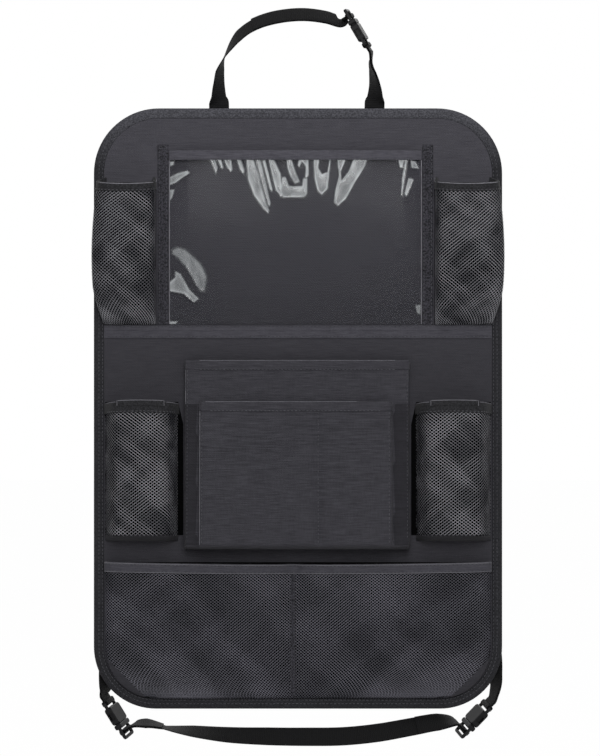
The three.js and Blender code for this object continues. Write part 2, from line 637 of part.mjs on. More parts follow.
// Each tab's way from its root to its buckle, as points and the way that its width runs there.
const tabPoints = {
  top: [
    [[76.6, rootY, rootLow], [-1, 0, 0]],
    [[76.6, rootY, top + 4], [-1, 0, 0]],
    [[77, rootY - 1, top + 12], [-0.72, 0.69, 0]],
    [[76.8, 0, top + 24], [-0.45, 0.89, 0]],
    [[75, -4, top + 36], [-0.2, 0.97, 0]],
    [[73.2, -10, top + 45], [0.02, 1, 0]],
  ],
  left: [
    [[16 - side, rootY, 62 - top], [1, 0, 0]],
    [[15.7 - side, rootY + 0.5, 49 - top], [1, 0, 0]],
    [[14 - side, rootY + 5, 35 - top], [0.92, 0.39, 0]],
    [[11 - side, rootY + 7, 19 - top], [0.5, 0.86, 0.05]],
  ],
  right: [
    [[side - 11.5, rootY, 76 - top], [1, 0, 0]],
    [[side - 10.8, rootY + 0.5, 62 - top], [1, 0, 0]],
    [[side - 9, rootY + 5, 48 - top], [0.93, -0.37, 0]],
    [[side - 7, rootY + 7, 36 - top], [0.7, -0.7, 0]],
    [[side - 5.5, rootY + 8, 23 - top], [0.45, -0.9, 0]],
    [[side - 7.5, rootY + 7.5, 13 - top], [0.3, -0.94, -0.1]],
  ],
};

function makeBuckle(name, place) {
  const group = new THREE.Group();
  group.applyMatrix4(frameOf(place));
  addPiece(`${name}_socket`, makeSocket(), plastic, group);
  addPiece(`${name}_clip`, makeClip(), plastic, group);
  organizer.add(group);
}

makeMat();
makeBinding();
makeTapes();
makeTabletPocket();
makeUpperNets();
makeClothPockets();
makeSideNets();
makeLowerNet();
for (const [name, place] of Object.entries(buckles)) makeBuckle(name, place);
makeHeadrestStrap(frameOf(buckles.headrest));
makeTab("top", frameOf(buckles.headrest), tabPoints.top);
makeTab("left", frameOf(buckles.seat_left), tabPoints.left);
makeTab("right", frameOf(buckles.seat_right), tabPoints.right);
makeSeatStrap(frameOf(buckles.seat_left), frameOf(buckles.seat_right));

export default organizer;
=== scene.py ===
"""Looks of a car seat back organizer: cloth mat, nets, clear film, webbing straps and moulded buckles.

Sizes are in millimetres until a mesh is made. X runs right, -Y faces the viewer and Z runs up.
"""

from __future__ import annotations

import json
import logging
import math
from dataclasses import dataclass
from enum import Enum
from typing import Callable, Iterable, Sequence

import bmesh
import bpy
from mathutils import Matrix, Vector, noise

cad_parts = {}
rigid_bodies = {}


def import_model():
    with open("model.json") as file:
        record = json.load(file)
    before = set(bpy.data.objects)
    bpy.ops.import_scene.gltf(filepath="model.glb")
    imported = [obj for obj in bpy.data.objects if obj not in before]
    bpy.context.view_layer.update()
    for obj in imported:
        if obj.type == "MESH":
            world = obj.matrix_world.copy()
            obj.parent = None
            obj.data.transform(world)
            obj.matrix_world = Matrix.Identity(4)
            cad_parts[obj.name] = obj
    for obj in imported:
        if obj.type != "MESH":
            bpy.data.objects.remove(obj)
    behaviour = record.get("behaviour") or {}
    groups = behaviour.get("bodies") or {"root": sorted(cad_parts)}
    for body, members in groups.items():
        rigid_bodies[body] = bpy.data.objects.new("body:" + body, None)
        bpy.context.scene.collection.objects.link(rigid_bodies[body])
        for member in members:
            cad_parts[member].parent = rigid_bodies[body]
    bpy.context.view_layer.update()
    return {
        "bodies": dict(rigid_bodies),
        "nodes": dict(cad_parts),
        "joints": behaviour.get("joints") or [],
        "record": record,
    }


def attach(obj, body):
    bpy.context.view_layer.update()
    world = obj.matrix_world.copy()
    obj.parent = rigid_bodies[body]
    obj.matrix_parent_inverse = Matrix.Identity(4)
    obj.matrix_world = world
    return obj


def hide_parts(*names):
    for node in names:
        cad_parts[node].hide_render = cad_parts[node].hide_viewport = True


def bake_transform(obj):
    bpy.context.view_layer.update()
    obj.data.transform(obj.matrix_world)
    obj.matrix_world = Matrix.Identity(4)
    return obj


LOG = logging.getLogger("organizer")
MM = 0.001
BODY = "mat"
FRONT = Vector((0, -1, 0))

GAP = 0.3  # left between pieces that are sewn together
MAT_WIDTH = 408.0
MAT_HEIGHT = 600.0
MAT_THICKNESS = 3.0
TOP_CORNER = 65.0
BOTTOM_CORNER = 62.0
BINDING_COVER = 10.0
TOP = MAT_HEIGHT / 2
SIDE = MAT_WIDTH / 2
FACE = -MAT_THICKNESS - GAP  # Y where a piece that lies on the mat begins
INNER = SIDE - BINDING_COVER - GAP
CLEAR = GAP + 0.8  # from a pocket's face to the outside of what is sewn over it

COLOUR_A, COLOUR_B = 6, 7  # sockets of a Mix node that takes colours
MIXED_COLOUR = 2

Faces = list[tuple[int, ...]]
Line = list[Vector]
Layer = tuple[Line, Faces, list[tuple[float, float]]]  # with each point's place on the webbing


def clamped(value: float) -> float:
    """A value held between 0 and 1."""
    return min(max(value, 0.0), 1.0)


def eased(value: float, low: float, high: float) -> float:
    """A share from 0 to 1 that grows fast at first."""
    return math.sin(math.pi / 2 * clamped((value - low) / (high - low)))


def blend_between(a: float, b: float, share: float) -> float:
    """A value between two others."""
    return a + (b - a) * share


def linear(colour: str) -> tuple[float, float, float, float]:
    """Turn an sRGB hex colour into linear RGBA.

    Args:
        colour: Six hex digits, such as "3f3e44".

    Returns:
        The linear red, green and blue, and an alpha of one.
    """
    parts = [int(colour[i : i + 2], 16) / 255 for i in (0, 2, 4)]
    red, green, blue = (p / 12.92 if p <= 0.04045 else ((p + 0.055) / 1.055) ** 2.4 for p in parts)
    return (red, green, blue, 1.0)


def add_node(tree: bpy.types.NodeTree, kind: str, inputs: dict | None = None,
             **settings: object) -> bpy.types.Node:
    """Add a shader node with its settings and links.

    Args:
        tree: The material's or world's node tree.
        kind: Blender's name of the node type.
        inputs: A value or another node's output socket for each named or numbered input.
        settings: Properties of the node.

    Returns:
        The new node.
    """
    node = tree.nodes.new(kind)
    for name, value in settings.items():
        setattr(node, name, value)
    for key, value in (inputs or {}).items():
        if isinstance(value, bpy.types.NodeSocket):
            tree.links.new(value, node.inputs[key])
        else:
            node.inputs[key].default_value = value
    return node


def blank_material(name: str) -> tuple[bpy.types.Material, bpy.types.NodeTree]:
    """Make a material with an empty node tree.

    Args:
        name: The material's name.

    Returns:
        The material and its node tree.
    """
    material = bpy.data.materials.new(name)
    material.use_nodes = True
    material.node_tree.nodes.clear()
    return material, material.node_tree


def finish_with(tree: bpy.types.NodeTree, inputs: dict) -> None:
    """End a material's tree in a Principled shader and the output."""
    shader = add_node(tree, "ShaderNodeBsdfPrincipled", inputs)
    add_node(tree, "ShaderNodeOutputMaterial", {"Surface": shader.outputs["BSDF"]})


def seen_share(tree: bpy.types.NodeTree) -> bpy.types.NodeSocket:
    """One for rays that show the background to the camera, straight, mirrored or through glass.

    Args:
        tree: The material's or world's node tree.

    Returns:
        The socket that tells such rays from the others.
    """
    path = add_node(tree, "ShaderNodeLightPath")
    seen = path.outputs["Is Camera Ray"]
    for ray in ("Is Glossy Ray", "Is Transmission Ray"):
        either = add_node(tree, "ShaderNodeMath", {0: seen, 1: path.outputs[ray]}, operation="MAXIMUM")
        seen = either.outputs[0]
    return seen


def stretched_noise(tree: bpy.types.NodeTree, size: tuple[float, float, float], detail: float = 2.0,
                    lean: float = 0.0) -> bpy.types.Node:
    """Noise whose features have a given size in millimetres along each axis.

    Args:
        tree: The material's node tree.
        size: Length of a feature along X, Y and Z.
        detail: How many finer layers it has.
        lean: Degrees that its Z axis leans towards X.

    Returns:
        The noise node.
    """
    place = add_node(tree, "ShaderNodeTexCoord")
    scaled = add_node(tree, "ShaderNodeMapping", {
        "Vector": place.outputs["Object"], "Scale": Vector(size) * MM,
        "Rotation": (0, math.radians(lean), 0),
    }, vector_type="TEXTURE")
    return add_node(
        tree, "ShaderNodeTexNoise", {"Vector": scaled.outputs["Vector"], "Scale": 1.0, "Detail": detail}
    )


def between_colours(tree: bpy.types.NodeTree, factor: bpy.types.NodeSocket, dark: str, light: str,
                    low: float = 0.3, high: float = 0.7) -> bpy.types.NodeSocket:
    """Shade from one sRGB colour to another as a pattern rises.

    Args:
        tree: The material's node tree.
        factor: The pattern.
        dark: Hex colour at its low end.
        light: Hex colour at its high end.
        low: The pattern's value where the shading begins.
        high: Its value where it ends.

    Returns:
        The socket that gives the colour.
    """
    share = add_node(tree, "ShaderNodeMapRange", {"Value": factor, "From Min": low, "From Max": high})
    mixed = add_node(tree, "ShaderNodeMix", {
        "Factor": share.outputs["Result"], COLOUR_A: linear(dark), COLOUR_B: linear(light),
    }, data_type="RGBA")
    return mixed.outputs[MIXED_COLOUR]


def painted_top_light(tree: bpy.types.NodeTree, colour: bpy.types.NodeSocket, painted_shade_share: float, low: float,
          high: float) -> bpy.types.Node:
    """A colour painted paler with height, as painted light from above and painted shade lower down.

    Args:
        tree: The material's node tree.
        colour: The colour at the top.
        painted_shade_share: Its share of that colour further down.
        low: Height in millimetres below which the painted shade is deepest.
        high: Height above which the colour is no longer darkened.

    Returns:
        A vector node that gives the colour.
    """
    place = add_node(tree, "ShaderNodeTexCoord")
    axes = add_node(tree, "ShaderNodeSeparateXYZ", {"Vector": place.outputs["Object"]})
    share = add_node(tree, "ShaderNodeMapRange", {
        "Value": axes.outputs["Z"], "From Min": low * MM, "From Max": high * MM,
        "To Min": painted_shade_share, "To Max": 1.0,
    })
    return add_node(tree, "ShaderNodeVectorMath", {0: colour, "Scale": share.outputs["Result"]},
                    operation="SCALE")


def plain_weave(tree: bpy.types.NodeTree, spacing: float) -> bpy.types.Node:
    """Height of a plain weave on upright cloth, from crossed sine waves.

    Args:
        tree: The material's node tree.
        spacing: Distance between threads in millimetres.

    Returns:
        A math node whose value goes from -1 to 1.
    """
    place = add_node(tree, "ShaderNodeTexCoord")
    axes = add_node(tree, "ShaderNodeSeparateXYZ", {"Vector": place.outputs["Object"]})
    turn = math.pi / (spacing * MM)
    across = add_node(tree, "ShaderNodeMath", {0: axes.outputs["X"], 1: axes.outputs["Y"]}, operation="ADD")
    waves = []
    for socket in (across.outputs[0], axes.outputs["Z"]):
        scaled = add_node(tree, "ShaderNodeMath", {0: socket, 1: turn}, operation="MULTIPLY")
        waves.append(add_node(tree, "ShaderNodeMath", {0: scaled.outputs[0]}, operation="SINE"))
    return add_node(tree, "ShaderNodeMath", {0: waves[0].outputs[0], 1: waves[1].outputs[0]},
                    operation="MULTIPLY")


@dataclass(frozen=True)
class OxfordCloth:
    """Polyester oxford, plain woven from thick and thin yarn, which gives short level streaks.

    It is painted paler towards the top and darker lower down, as painted light and shade from a light above.
    """

    name: str
    dark: str
    light: str
    thread_spacing: float = 1.3  # real threads are 0.5 mm apart, drawn coarser so that they show
    streak: tuple[float, float, float] = (16.0, 16.0, 0.9)
    undulation: tuple[float, float, float] = (70.0, 70.0, 55.0)
    thread_height: float = 0.12
    streak_height: float = 0.9
    fold_height: float = 6.0
    # share of its colour at the foot, where painted shade darkens it
    painted_shade_share: float = 0.62
    painted_light_span: tuple[float, float] = (40.0, 220.0)  # heights over which it is painted from its shaded to its lit colour
    shine: float = 0.18

    def build(self) -> bpy.types.Material:
        """Make the material.

        Returns:
            The material.
        """
        material, tree = blank_material(self.name)
        level = stretched_noise(tree, self.streak, 3.0)
        upright = stretched_noise(tree, (1.0, 1.0, 9.0), 1.0)
        half = add_node(tree, "ShaderNodeMix", {
            "Factor": 0.22, "A": level.outputs["Fac"], "B": upright.outputs["Fac"],
        })
        yarn = between_colours(tree, half.outputs[0], self.dark, self.light, 0.32, 0.68)
        # painted light and shade: paler towards the top, darker lower down
        colour = painted_top_light(tree, yarn, self.painted_shade_share, *self.painted_light_span)
        weave = plain_weave(tree, self.thread_spacing)
        fine = add_node(tree, "ShaderNodeBump", {
            "Height": weave.outputs[0], "Distance": self.thread_height * MM, "Strength": 0.6,
        })
        thick = add_node(tree, "ShaderNodeBump", {
            "Height": half.outputs[0], "Distance": self.streak_height * MM, "Strength": 0.7,
            "Normal": fine.outputs["Normal"],
        })
        slack = stretched_noise(tree, self.undulation, 2.0)
        folds = add_node(tree, "ShaderNodeBump", {
            "Height": slack.outputs["Fac"], "Distance": self.fold_height * MM, "Strength": 0.6,
            "Normal": thick.outputs["Normal"],
        })
        finish_with(tree, {
            "Base Color": colour.outputs["Vector"], "Roughness": 0.82, "Specular IOR Level": self.shine,
            "Sheen Weight": self.shine / 3, "Sheen Roughness": 0.5, "Normal": folds.outputs["Normal"],
        })
        return material


@dataclass(frozen=True)
class TrimTape:
    """Woven polypropylene tape, ribbed along its length, speckled where its yarns cross."""

    name: str
    dark: str
    light: str
    grain: float = 1.5  # real ribs are 0.6 mm apart, drawn coarser so that they show
    relief: float = 0.5
    painted_shade_share: float = 1.0
    painted_light_span: tuple[float, float] = (240.0, 292.0)  # heights over which it is painted from its shaded to its lit colour

    def build(self) -> bpy.types.Material:
        """Make the material.

        Returns:
            The material.
        """
        material, tree = blank_material(self.name)
        speckle = stretched_noise(tree, (self.grain,) * 3, 2.0)
        yarn = between_colours(tree, speckle.outputs["Fac"], self.dark, self.light, 0.38, 0.62)
        # painted light and shade: paler towards the top, darker lower down
        colour = painted_top_light(tree, yarn, self.painted_shade_share, *self.painted_light_span)
        bump = add_node(tree, "ShaderNodeBump", {
            "Height": speckle.outputs["Fac"], "Distance": self.relief * MM, "Strength": 0.8,
        })
        finish_with(tree, {
            "Base Color": colour.outputs["Vector"], "Roughness": 0.75, "Specular IOR Level": 0.15,
            "Sheen Weight": 0.05, "Normal": bump.outputs["Normal"],
        })
        return material


@dataclass(frozen=True)
class NetYarn:
    """Warp knitted polyester net, whose smooth stiffened yarns shine a little where they bend."""

    name: str
    dark: str
    light: str
    lean: float  # degrees that its yarns lean to the right of upright
    band: tuple[float, float, float] = (16.0, 16.0, 70.0)
    roughness: float = 0.42

    def build(self) -> bpy.types.Material:
        """Make the material. Paler bands, painted the way that the yarns lean, stand in for their shine.

        Returns:
            The material.
        """
        material, tree = blank_material(self.name)
        band = stretched_noise(tree, self.band, 1.0, self.lean)
        colour = between_colours(tree, band.outputs["Fac"], self.dark, self.light, 0.38, 0.62)
        finish_with(tree, {
            "Base Color": colour, "Roughness": self.roughness, "Specular IOR Level": 0.4,
        })
        return material


@dataclass(frozen=True)
class ClearFilm:
    """Soft PVC film, calendered smooth, nearly clear; where it is creased, a paler and more opaque colour
    paints the lamps' reflections.
    """

    name: str
    tint: str
    painted_glint_at_creases: str
    alpha: float = 0.08
    glint_alpha: float = 0.62
    roughness: float = 0.12

    def build(self) -> bpy.types.Material:
        """Make the material. A mesh attribute gives how strongly the painted reflections of the creases show
        at a point.

        Returns:
            The material.
        """
        material, tree = blank_material(self.name)
        glint_mask = add_node(tree, "ShaderNodeAttribute", attribute_name="glint_mask")
        colour = between_colours(tree, glint_mask.outputs["Fac"], self.tint, self.painted_glint_at_creases, 0.0, 1.0)
        alpha = add_node(tree, "ShaderNodeMapRange", {
            "Value": glint_mask.outputs["Fac"], "To Min": self.alpha, "To Max": self.glint_alpha,
        })
        finish_with(tree, {
            "Base Color": colour, "Roughness": self.roughness, "IOR": 1.54,
            "Specular IOR Level": 0.3, "Alpha": alpha.outputs["Result"],
        })
        return material


@dataclass(frozen=True)
class StrapWebbing:
    """Woven polypropylene webbing, whose ribs run across it, each rib's crest painted a little paler for its
    dull shine.
    """

    name: str
    dark: str
    light: str
    rib_spacing: float = 1.8
    zigzag: float = 2.5  # width of one row of the ribs' zigzag
    rib_height: float = 0.35

    def build(self) -> bpy.types.Material:
        """Make the material. The mesh's UV map gives millimetres along and across the webbing.

        Returns:
            The material.
        """
        material, tree = blank_material(self.name)
        place = add_node(tree, "ShaderNodeUVMap", uv_map="webbing")
        axes = add_node(tree, "ShaderNodeSeparateXYZ", {"Vector": place.outputs["UV"]})
        along = add_node(tree, "ShaderNodeMath", {0: axes.outputs["X"], 1: math.tau / self.rib_spacing},
                         operation="MULTIPLY")
        across = add_node(tree, "ShaderNodeMath", {0: axes.outputs["Y"], 1: math.tau / self.zigzag},
                          operation="MULTIPLY")
        side = add_node(tree, "ShaderNodeMath", {0: across.outputs[0]}, operation="SINE")
        lean = add_node(tree, "ShaderNodeMath", {0: along.outputs[0], 1: side.outputs[0]}, operation="ADD")
        rib = add_node(tree, "ShaderNodeMath", {0: lean.outputs[0]}, operation="SINE")
        share = add_node(tree, "ShaderNodeMapRange", {"Value": rib.outputs[0], "From Min": -1.0})
        colour = between_colours(tree, share.outputs["Result"], self.dark, self.light, 0.1, 0.9)
        bump = add_node(tree, "ShaderNodeBump", {
            "Height": share.outputs["Result"], "Distance": self.rib_height * MM, "Strength": 0.8,
        })
        finish_with(tree, {
            "Base Color": colour, "Roughness": 0.65, "Specular IOR Level": 0.1,
            "Normal": bump.outputs["Normal"],
        })
        return material


@dataclass(frozen=True)
class MouldedAcetal:
    """Injection moulded acetal, fine spark-eroded grain, satin, a touch paler on its sharper edges."""

    name: str
    dark: str
    light: str
    grain: float = 0.5
    relief: float = 0.05

    def build(self) -> bpy.types.Material:
        """Make the material.

        Returns:
            The material.
        """
        material, tree = blank_material(self.name)
        grain = stretched_noise(tree, (self.grain,) * 3, 2.0)
        geometry = add_node(tree, "ShaderNodeNewGeometry")
        colour = between_colours(tree, geometry.outputs["Pointiness"], self.dark, self.light, 0.48, 0.56)
        bump = add_node(tree, "ShaderNodeBump", {
            "Height": grain.outputs["Fac"], "Distance": self.relief * MM,
        })
        finish_with(tree, {
            "Base Color": colour, "Roughness": 0.5, "IOR": 1.48, "Specular IOR Level": 0.18,
            "Normal": bump.outputs["Normal"],
        })
        return material


@dataclass(frozen=True)
class SewingThread:
    """Bonded polyester thread, twisted and waxed, which catches light on each stitch."""

    name: str
    dark: str
    light: str
    twist: float = 0.5

    def build(self) -> bpy.types.Material:
        """Make the material.

        Returns:
            The material.
        """
        material, tree = blank_material(self.name)
        twist = stretched_noise(tree, (self.twist,) * 3, 1.0)
        colour = between_colours(tree, twist.outputs["Fac"], self.dark, self.light, 0.3, 0.6)
        finish_with(tree, {
            "Base Color": colour, "Roughness": 0.5, "Specular IOR Level": 0.4,
        })
        return material


YARN_LEAN = 50.0  # degrees that each family of a net's yarns leans from upright
BROAD_BAND = (30.0, 30.0, 110.0)


class Finish(Enum):
    """Every finish of the object."""

    CLOTH = OxfordCloth("polyester_oxford", "3b3a40", "47464c")
    POCKET_CLOTH = OxfordCloth("polyester_oxford_pockets", "35343a", "525158")
    HEM = OxfordCloth("polyester_oxford_hem", "3f3e45", "525158", streak=(9.0, 9.0, 1.2), painted_shade_share=0.8)
    # Black sheets on the mat and inside the nets' walls: painted shade inside the pockets and in the gaps
    # beside them.
    PAINTED_SHADE = OxfordCloth("black_painted_shade", "060607", "0a0a0b", shine=0.02)
    # A darker copy of the cloth, which paints shade: on the side pockets' gussets and in strips beside the
    # front pocket.
    SHADE_PAINTED_CLOTH = OxfordCloth("polyester_oxford_painted_shade", "26252a", "37363c")
    # Pale cloth for thin strands along folds and edges, which paint the highlights that they catch.
    PAINTED_HIGHLIGHT = OxfordCloth("polyester_oxford_painted_fold_highlight", "77767d", "8f8e95", streak=(7.0, 7.0, 7.0),
                       painted_shade_share=0.7)
    # The binding is painted much darker below the top corners: painted light on its top, painted shade on
    # its sides and foot.
    BINDING = TrimTape("polypropylene_binding", "36363b", "525258", painted_shade_share=0.27)
    TAPE = TrimTape("polypropylene_tape", "131316", "3c3b42", grain=1.2)
    DARK_HEM = TrimTape("polypropylene_net_hem", "141416", "2c2c2f", grain=1.4)
    NET_LEFT = NetYarn("polyester_net_left", "46464c", "909096", YARN_LEAN)
    NET_RIGHT = NetYarn("polyester_net_right", "46464c", "909096", -YARN_LEAN)
    # Darker copies of the net's colours for the lower net, which is the same yarn: painted shade, as it lies
    # low and faces downwards.
    FINE_NET_LEFT = NetYarn("polyester_fine_net_left", "3b3b43", "696872", YARN_LEAN, BROAD_BAND)
    FINE_NET_RIGHT = NetYarn("polyester_fine_net_right", "3b3b43", "696872", -YARN_LEAN, BROAD_BAND)
    FILM = ClearFilm("pvc_film", "2a2e34", "d4d8da")
    WEBBING = StrapWebbing("polypropylene_webbing", "050506", "111112")
    PLASTIC = MouldedAcetal("moulded_acetal", "050506", "101012")
    THREAD = SewingThread("polyester_thread", "1b1b1d", "57575d")


FINISHES: dict[Finish, bpy.types.Material] = {}


def finish_of(finish: Finish) -> bpy.types.Material:
    """Give a finish's material, made when it is first asked for.

    Args:
        finish: The finish.

    Returns:
        Its material.
    """
    if finish not in FINISHES:
        FINISHES[finish] = finish.value.build()
    return FINISHES[finish]


def new_piece(name: str, points: Sequence[Vector], faces: Faces, finish: Finish,
              sharp: float = 40.0) -> bpy.types.Object:
    """Make an object from points in millimetres, smooth but for its sharp edges.

    Args:
        name: The piece's name.
        points: Its vertices.
        faces: Its faces, as vertex numbers.
        finish: What it is made of.
        sharp: Angle in degrees past which an edge shows.

    Returns:
        The new object.
    """
    mesh = bpy.data.meshes.new(name)
    mesh.from_pydata([tuple(p * MM) for p in points], [], faces)
    work = bmesh.new()
    work.from_mesh(mesh)
    bmesh.ops.recalc_face_normals(work, faces=work.faces)
    work.to_mesh(mesh)
    work.free()
    mesh.shade_smooth()
    mesh.set_sharp_from_angle(angle=math.radians(sharp))
    mesh.materials.append(finish_of(finish))
    piece = bpy.data.objects.new(name, mesh)
    bpy.context.scene.collection.objects.link(piece)
    return piece


def settle(piece: bpy.types.Object, nodes: Iterable[str] = (), body: str = BODY) -> None:
    """Say what a finished piece stands for and what it moves with.

    Args:
        piece: The piece.
        nodes: The solids that it replaces.
        body: The body that it rides on, or nothing where the piece is blended.
    """
    if body:
        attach(piece, body)
    if nodes:
        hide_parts(*nodes)
    LOG.info("%s: %d faces", piece.name, len(piece.data.polygons))


def sweep(rings: Sequence[Line], closed: bool = False) -> tuple[Line, Faces]:
    """Join rings of points by a skin.

    Args:
        rings: Rings with the same number of points.
        closed: Whether the last ring meets the first, so that there are no ends to cap.

    Returns:
        The points and faces.
    """
    size = len(rings[0])
    count = len(rings)
    faces: Faces = []
    for i in range(count if closed else count - 1):
        here, after = i * size, (i + 1) % count * size
        for k in range(size):
            n = (k + 1) % size
            faces.append((here + k, here + n, after + n, after + k))
    if not closed:
        faces.append(tuple(range(size - 1, -1, -1)))
        faces.append(tuple(range((count - 1) * size, count * size)))
    return [p for ring in rings for p in ring], faces


def gather(parts: Iterable[tuple[Line, Faces]]) -> tuple[Line, Faces]:
    """Put several skins together as one set of points and faces.

    Args:
        parts: Each skin's points and faces.

    Returns:
        All the points and faces.
    """
    points: Line = []
    faces: Faces = []
    for some, over in parts:
        start = len(points)
        points.extend(some)
        faces.extend(tuple(start + k for k in face) for face in over)
    return points, faces


def resample(line: Line, count: int) -> Line:
    """Spread points evenly along a line.

    Args:
        line: The line's points.
        count: How many points are wanted.

    Returns:
        The new points, the two ends kept.
    """
    reach = [0.0]
    for a, b in zip(line, line[1:]):
        reach.append(reach[-1] + (b - a).length)
    result = []
    i = 0
    for k in range(count):
        want = reach[-1] * k / (count - 1)
        while i < len(line) - 2 and reach[i + 1] < want:
            i += 1
        span = max(reach[i + 1] - reach[i], 1e-9)
        result.append(line[i].lerp(line[i + 1], min((want - reach[i]) / span, 1.0)))
    return result


def soften(line: Line, times: int) -> Line:
    """Round a line's corners by cutting them, its ends kept.

    Args:
        line: The line's points.
        times: How often its corners are cut.

    Returns:
        The rounder line.
    """
    for _ in range(times):
        cut = [line[0]]
        for a, b in zip(line, line[1:]):
            cut += [a.lerp(b, 0.25), a.lerp(b, 0.75)]
        line = cut + [line[-1]]
    return line


def stitch_run(line: Line, outward: Vector, pitch: float = 3.8, length: float = 2.4,
               radius: float = 0.34) -> list[tuple[Line, Faces]]:
    """Stitches along a line, each a short thread that dips into the cloth at both ends.

    Args:
        line: The seam's points.
        outward: The way that the cloth faces.
        pitch: Distance from one stitch to the next.
        length: Length of a stitch.
        radius: Half the thread's thickness.

    Returns:
        The skin of each stitch.
    """
    total = sum((b - a).length for a, b in zip(line, line[1:]))
    count = max(int(total / pitch), 1)
    marks = resample(line, count + 1)
    runs = []
    for a, b in zip(marks, marks[1:]):
        along = (b - a).normalized()
        beside = along.cross(outward).normalized() * radius
        middle = (a + b) / 2
        rings = []
        for share, size, lift in ((-0.5, 0.4, -0.3), (-0.35, 1.0, 0.6), (0.35, 1.0, 0.6), (0.5, 0.4, -0.3)):
            at = middle + along * (share * length) + outward * (radius * lift)
            up = outward * radius * size
            rings.append([at + beside * size, at + up, at - beside * size, at - up])
        runs.append(sweep(rings))
    return runs


def stitched(name: str, lines: Iterable[tuple[Line, Vector]]) -> bpy.types.Object:
    """Make one piece of all the stitches along some seams."""
    runs = [run for line, outward in lines for run in stitch_run(line, outward)]
    return new_piece(name, *gather(runs), Finish.THREAD)


def fold_lines(name: str, lines: Iterable[tuple[Line, Vector]], finish: Finish = Finish.PAINTED_HIGHLIGHT,
           radius: float = 0.4) -> bpy.types.Object:
    """Make one piece of the sharp folds that run along some lines; in the pale default finish they are
    painted highlights where the folds catch the light.

    Args:
        name: The piece's name.
        lines: Each fold's points, and the way that the cloth faces there.
        finish: What it is made of.
        radius: Half the fold's thickness.

    Returns:
        The piece.
    """
    parts = []
    for line, outward in lines:
        rings = []
        for i, p in enumerate(line):
            along = (line[min(i + 1, len(line) - 1)] - line[max(i - 1, 0)]).normalized()
            beside = along.cross(outward).normalized() * radius
            rings.append([p + beside, p + outward * radius, p - beside, p - outward * radius])
        parts.append(sweep(rings))
    return new_piece(name, *gather(parts), finish)


def pillow(x0: float, x1: float, z0: float, z1: float, back: float, front: float,
           round_off: float = 0.35) -> tuple[Line, Faces]:
    """A flat strip of tape with soft edges, between two heights over the mat.

    Args:
        x0: Left edge.
        x1: Right edge.
        z0: Lower edge.
        z1: Upper edge.
        back: Y of the side that lies on the mat.
        front: Y of the side that shows.
        round_off: How far its edges are rounded.

    Returns:
        The points and faces.
    """
    rings = []
    third = round_off * 0.3
    for inset, y in ((0, back), (0, front + round_off), (third, front + third), (round_off, front)):
        a, b, c, d = x0 + inset, x1 - inset, z0 + inset, z1 - inset
        rings.append([Vector((a, y, c)), Vector((b, y, c)), Vector((b, y, d)), Vector((a, y, d))])
    return sweep(rings)


def outline(inset: float, arc_steps: int = 20) -> Line:
    """The mat's outline, drawn inset from its edge.

    Args:
        inset: How far inside the edge.
        arc_steps: Steps in each corner.

    Returns:
        Points in the plane y = 0, anticlockwise with X right and Z up.
    """
    points = []
    corners = ((1, 1, TOP_CORNER), (-1, 1, TOP_CORNER), (-1, -1, BOTTOM_CORNER), (1, -1, BOTTOM_CORNER))
    for turn, (sx, sz, radius) in enumerate(corners):
        for k in range(arc_steps + 1):
            angle = math.radians(90 * turn + 90 * k / arc_steps)
            x = sx * (SIDE - radius) + (radius - inset) * math.cos(angle)
            z = sz * (TOP - radius) + (radius - inset) * math.sin(angle)
            points.append(Vector((x, 0, z)))
    return points


def at_depth(line: Line, y: float) -> Line:
    """A line moved to a depth."""
    return [Vector((p.x, y, p.z)) for p in line]


@dataclass
class MatSheet:
    """The flat mat and the tape folded round its edge."""

    rim: float = 1.4
    fold: float = 0.5
    proud: float = 0.5
    stitch_insets: tuple[float, float] = (5.2, 8.8)

    def build(self) -> None:
        """Make the mat, its binding and the stitches that hold them together."""
        core = outline(BINDING_COVER + GAP)
        flange = outline(1.0)
        near, far = -(MAT_THICKNESS - self.rim) / 2, -(MAT_THICKNESS + self.rim) / 2
        rings = [
            at_depth(core, 0.0), at_depth(core, near), at_depth(flange, near),
            at_depth(flange, far), at_depth(core, far), at_depth(core, -MAT_THICKNESS),
        ]
        mat = new_piece("mat_panel", *sweep(rings), Finish.CLOTH)
        settle(mat, ["main_mat"])

        front = -MAT_THICKNESS - self.proud
        section = [
            (-BINDING_COVER, 0.0), (-1.2, 0.0), (-0.35, -0.35), (0.0, -1.1), (0.0, front + 1.7),
            (-0.4, front + 1.0), (-1.6, front + 0.35), (-4.0, front), (-9.2, front + 0.15),
            (-BINDING_COVER, front + 0.6), (-BINDING_COVER, front + self.fold + 0.6),
            (-0.8, front + self.fold), (-0.8, -self.fold), (-BINDING_COVER, -self.fold),
        ]
        edge = outline(0.0)
        edge = [p for i, p in enumerate(edge) if (p - edge[i - 1]).length > 1e-4]
        rings = []
        for i, p in enumerate(edge):
            along = (edge[(i + 1) % len(edge)] - edge[i - 1]).normalized()
            out = Vector((along.z, 0, -along.x))
            rings.append([p + out * reach + Vector((0, y, 0)) for reach, y in section])
        binding = new_piece("binding_tape", *sweep(rings, closed=True), Finish.BINDING)
        settle(binding, ["edge_binding"])

        seams = []
        for inset in self.stitch_insets:
            seam = at_depth(outline(inset), front)
            seam.append(seam[0])
            seams += [(seam, FRONT), (at_depth(seam, 0.0), -FRONT)]
        settle(stitched("binding_stitches", seams))


